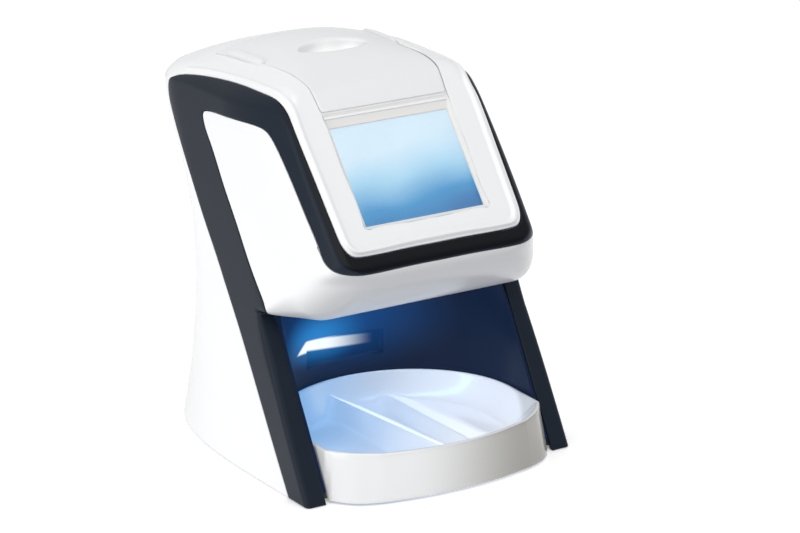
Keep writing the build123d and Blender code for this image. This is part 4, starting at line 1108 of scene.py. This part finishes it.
def cover_grid():
    rim = cover_outline()
    away = (rim - ENTRY_MID) / ENTRY_HALF
    angle = np.arctan2(away[:, 1], away[:, 0])
    round_out = compass(angle)
    oval = ENTRY_MID + round_out * ENTRY_HALF
    shares = np.linspace(0, 1, COVER_ROWS) ** COVER_POWER
    skin = on_roof(oval[:, None] * (1 - shares[None, :, None]) + rim[:, None] * shares[None, :, None])
    turn = np.clip((angle - FLUTE_START) / (np.pi - 2 * FLUTE_START), 0, 1)
    flutes = FLUTE_DEPTH * np.cos(FLUTES * np.pi * turn) ** 2 * (np.sin(angle) > 0)
    recess = []
    for way in np.arange(RECESS_ROWS) / (RECESS_ROWS - 1):
        slot = ENTRY_MID + round_out * (SLOT_HALF + (flutes * math.sin(math.pi * way))[:, None])
        mix = way ** RECESS_MIX_POWER
        recess.append(on_roof(slot * (1 - mix) + oval * mix, RECESS_DEPTH * (1 - way ** RECESS_POWER)))
    deep = recess[0] + np.array(DOWN) * SLOT_DEPTH
    grid = np.concatenate([np.stack([deep, *recess[:-1]], axis=1), skin], axis=1)
    return roll_edge(grid, first=False)


def ledge_grid():
    """Narrow white ledge of the housing below the cover's seams."""
    rim = cover_outline()
    ahead = np.roll(rim, -1, axis=0) - np.roll(rim, 1, axis=0)
    outward = unit(np.stack([-ahead[:, 1], ahead[:, 0]], axis=1))
    outward *= np.sign(np.sum(outward * (rim - ENTRY_MID), axis=1, keepdims=True))
    rows = [on_roof(rim + outward * step, LEDGE_DEPTH) for step in (-LEDGE_HALF, 0.0, MARGIN + LEDGE_HALF)]
    return np.stack(rows, axis=1)


from_grids("cover_ledge", [ledge_grid()], WHITE, "housing", closed=True, slot="housing_white")

# Finger pads of the cover, with their rings as (way outward, height)
TAB_COUNT = 72
TAB_SQUARE = (0.55, 0.3)
TAB_HALF = (2.1, 15.5)
TAB_MID_Y = 37.0
TAB_TURN = 0.04
TAB_SET = 2.6
TAB_RINGS = ((0.0, 2.0), (0.35, 2.0), (0.7, 1.95), (0.86, 1.8), (0.95, 1.4), (1.0, 0.8), (1.0, 0.1),
             (1.2, -0.4))


def tab_grid(side):
    """Raised finger pad on the cover's edge."""
    round_out = compass(np.linspace(0, 2 * np.pi, TAB_COUNT, endpoint=False))
    across, along_y = (np.sign(round_out) * np.abs(round_out) ** TAB_SQUARE).T
    rows = []
    for share, height in TAB_RINGS:
        y = TAB_MID_Y + TAB_HALF[1] * along_y * share
        x = COVER_HALF(TAB_MID_Y) + TAB_TURN * (y - TAB_MID_Y) - TAB_SET + TAB_HALF[0] * across * share
        rows.append(on_roof(np.stack([side * x, y], axis=1), -height))
    return np.stack(rows, axis=1)


from_grids("cover_skin", [cover_grid(), tab_grid(-1), tab_grid(1)], COVER, "cover", closed=True,
           slot="cover_white", replaces=("top_cover",))

# Receiving tray: a shallow dish with a thin rim and two ridges that rise to the front
TRAY_TOP = 24.5
TRAY_MID = np.array((0.0, -42.0))
TRAY_HALF = 62.0
TRAY_BACK = 56.5
CHAMBER_Y = -43.0
ARC_LOW = ((-62.0, -75.5), (-54.5, -85.0), (-42.0, -91.0), (0.0, -96.5))
ARC_HIGH = ((-61.0, -70.0), (-52.0, -80.5), (-40.5, -88.3), (0.0, -95.6))
RIM_WIDTH = 2.2
DISH_FLOOR = 12.8
DISH_FLAT = 0.79
WALL_RISE = (0.0, 0.02, 0.1, 0.25, 0.4, 0.55, 0.7, 0.85, 0.95)
RIM_ROWS = ((0.1, 23.95), (0.3, 24.3), (0.6, 24.46), (1.0, 24.5), (1.6, 24.5), (1.95, 24.42))
UNDER_INSET = 2.0
UNDER_Z = 1.8
WALL_INSET = 0.4
WALL_LOW = 1.3
DISH_ROWS = 110
TRAY_COUNT = 420
NOSE_DROP_share = 0.25
NOSE_COUNT = 90
CORNER_COUNT = 24
BACK_COUNT = 150
WALL_COUNT = 20


def tray_outline(arc):
    """Closed outline of the tray from above: arcs in front, straight sides, an oval back."""
    left, corner_point, shoulder, front = (np.array(p) for p in arc)
    mirror = MIRROR_X[:2]
    between = (shoulder + front) / 2 - (0.0, (shoulder - front)[1] * NOSE_DROP_share)
    nose_curve = through([shoulder, between, front, between * mirror, shoulder * mirror], NOSE_COUNT)
    side_curve = through([left, corner_point, shoulder], CORNER_COUNT)
    back = compass(np.linspace(0, np.pi, BACK_COUNT)) * (TRAY_HALF, TRAY_BACK) + (0.0, CHAMBER_Y)
    right_side = np.linspace(left * mirror, (TRAY_HALF, CHAMBER_Y), WALL_COUNT)[1:-1]
    left_side = right_side[::-1] * mirror
    parts = [side_curve[:-1], nose_curve[:-1], (side_curve * mirror)[::-1], right_side, back, left_side]
    return np.concatenate(parts)


def around(line, angles):
    """Points of a closed outline at angles about the tray's middle."""
    away = line - TRAY_MID
    turn = np.unwrap(np.arctan2(away[:, 1], away[:, 0]))
    length = np.linalg.norm(away, axis=1)
    turn, length = np.append(turn, turn[0] + 2 * np.pi), np.append(length, length[0])
    reach = np.interp((angles - turn[0]) % (2 * np.pi) + turn[0], turn, length)
    return compass(angles) * reach[:, None]


# Ridges as (middle, turn, low and high crest, slope to the left and right)
RIDGES = ((-10.5, -0.02, 18.6, 22.8, 0.8, 0.5), (15.0, 0.05, 15.6, 18.8, 0.5, 0.28))
RIDGE_BACK = 10.0
RIDGE_LENGTH = 102.0
RIDGE_POWER = 1.2
RIDGE_BLEND = 0.9
DISH_POWER = 1.5
DISH_TOP = TRAY_TOP - 0.3
RIM_TOP = TRAY_TOP - 0.2
RIM_FALL = 2.0


def dish_height(x, y, share):
    """Height of the dish: a shallow bowl with two ridges that grow toward the front."""
    rise = max((share - DISH_FLAT) / (1 - DISH_FLAT), 0)
    height = DISH_FLOOR + (DISH_TOP - DISH_FLOOR) * rise ** DISH_POWER
    ahead = np.clip((RIDGE_BACK - y) / RIDGE_LENGTH, 0, 1)
    for middle, turn, low, high, left, right in RIDGES:
        beside = x - middle - turn * (y - TRAY_MID[1])
        fall = np.where(beside < 0, -beside * left, beside * right)
        height = soft_max(height, low + (high - low) * ahead ** RIDGE_POWER - fall, RIDGE_BLEND)
    return np.minimum(height, RIM_TOP - (1 - share) * RIM_FALL)


def tray_grid():
    angles = np.linspace(-np.pi, np.pi, TRAY_COUNT, endpoint=False)
    low, high = around(tray_outline(ARC_LOW), angles), around(tray_outline(ARC_HIGH), angles)
    outward = unit(high)
    rows = [(low - outward * UNDER_INSET, UNDER_Z)]
    for rise in WALL_RISE:
        wall = low * (1 - rise) + high * rise - outward * (0 if rise else WALL_INSET)
        rows.append((wall, WALL_LOW + (TRAY_TOP - WALL_LOW) * rise))
    rows += [(high - outward * inset, lift) for inset, lift in RIM_ROWS]
    for share in np.linspace(1, 0, DISH_ROWS):
        place = (high - outward * RIM_WIDTH) * share
        rows.append((place, dish_height(*(TRAY_MID + place).T, share)))
    return np.stack([np.column_stack([TRAY_MID + place, np.broadcast_to(lift, TRAY_COUNT)])
                     for place, lift in rows], axis=1)


from_grids("tray_skin", [tray_grid()], TRAY, "tray", closed=True, slot="tray_frost",
           replaces=("receiving_tray",), flip=True)

# Side walls of the exit, between the chamber's wall and the guide
CHEEK_X = 22.4
CHEEK_Y = (11.6, 24.0)
CHEEK_Z = (31.5, 47.5)
corners = np.array([[(CHEEK_X, y, z) for z in CHEEK_Z] for y in CHEEK_Y])
from_grids("exit_cheeks", [corners, mirrored(corners)], GUIDE, "housing", slot="liner_gloss", sheet=SHEET)

# Camera, lights and floor; the places and sizes of lights and floor are in metres
CAMERA_AZ = math.radians(32.6)
CAMERA_EL = math.radians(18.0)
CAMERA_ROLL = math.radians(-0.2)
CAMERA_RANGE = 1683.5
CAMERA_LENS = 154.3
CAMERA_SENSOR = 36.0
CAMERA_FAR = 20.0
CAMERA_AIM = Vector((25.7, 0.0, 80.5))
LIGHTS = (("key", (-1.7, -0.4, 0.7), 1.0, 6.5), ("front", (-0.2, -0.8, 1.5), 1.4, 9.8))
LIGHT_AIM = Vector((0.0, 0.0, 0.1))
FLOOR_HALF = 4.0
FLOOR_COLOR = (0.93, 0.93, 0.93)
FLOOR_GLOW = 0.25
ROOM_SHADE = ((0.25, -0.9, -0.25), 0.25, 0.95)
ROOM_BRIGHT = (0.92, 0.92, 0.92)
ROOM_DARK = (0.16, 0.16, 0.17)
ROOM_STRENGTH = 0.8


def turned(thing, way, roll=0.0):
    """Point a camera or light one way."""
    thing.rotation_mode = "QUATERNION"
    thing.rotation_quaternion = way.to_track_quat("-Z", "Y") @ Quaternion(UP, roll)


def make_camera():
    level = math.cos(CAMERA_EL)
    back = Vector((-math.sin(CAMERA_AZ) * level, -math.cos(CAMERA_AZ) * level, math.sin(CAMERA_EL)))
    data = bpy.data.cameras.new("camera")
    data.lens = CAMERA_LENS
    data.sensor_width = CAMERA_SENSOR
    data.clip_end = CAMERA_FAR
    camera = placed("camera", data)
    camera.location = (CAMERA_AIM + back * CAMERA_RANGE) * MM
    turned(camera, -back, CAMERA_ROLL)
    bpy.context.scene.camera = camera


def area_light(name, place, size, power):
    data = bpy.data.lights.new(name, "AREA")
    data.size = size
    data.energy = power
    light = placed(name, data)
    light.location = place
    turned(light, LIGHT_AIM - light.location)


def make_world():
    """Bright room, darker low in front of the scanner."""
    world = bpy.data.worlds.new("studio")
    world.use_nodes = True
    tree = world.node_tree
    dark = blend_of(tree, coordinates(tree, "Generated"), *ROOM_SHADE, length=1.0)
    color = mixed(tree, dark, ROOM_BRIGHT, ROOM_DARK)
    feed(tree.nodes["Background"], {"Color": color, "Strength": ROOM_STRENGTH})
    bpy.context.scene.world = world


def make_stage():
    mesh = bpy.data.meshes.new("floor")
    corners = [(x * FLOOR_HALF, y * FLOOR_HALF, 0) for x, y in ((-1, -1), (1, -1), (1, 1), (-1, 1))]
    mesh.from_pydata(corners, [], [(0, 1, 2, 3)])
    mesh.materials.append(material("floor_pale", FLOOR_COLOR, 0.6, scale=8.0, tint=0.003,
                                   emission=(1.0, 1.0, 1.0), strength=FLOOR_GLOW))
    placed("floor", mesh)
    make_world()
    for light in LIGHTS:
        area_light(*light)
    bpy.context.scene.view_settings.view_transform = "Standard"


make_camera()
make_stage()
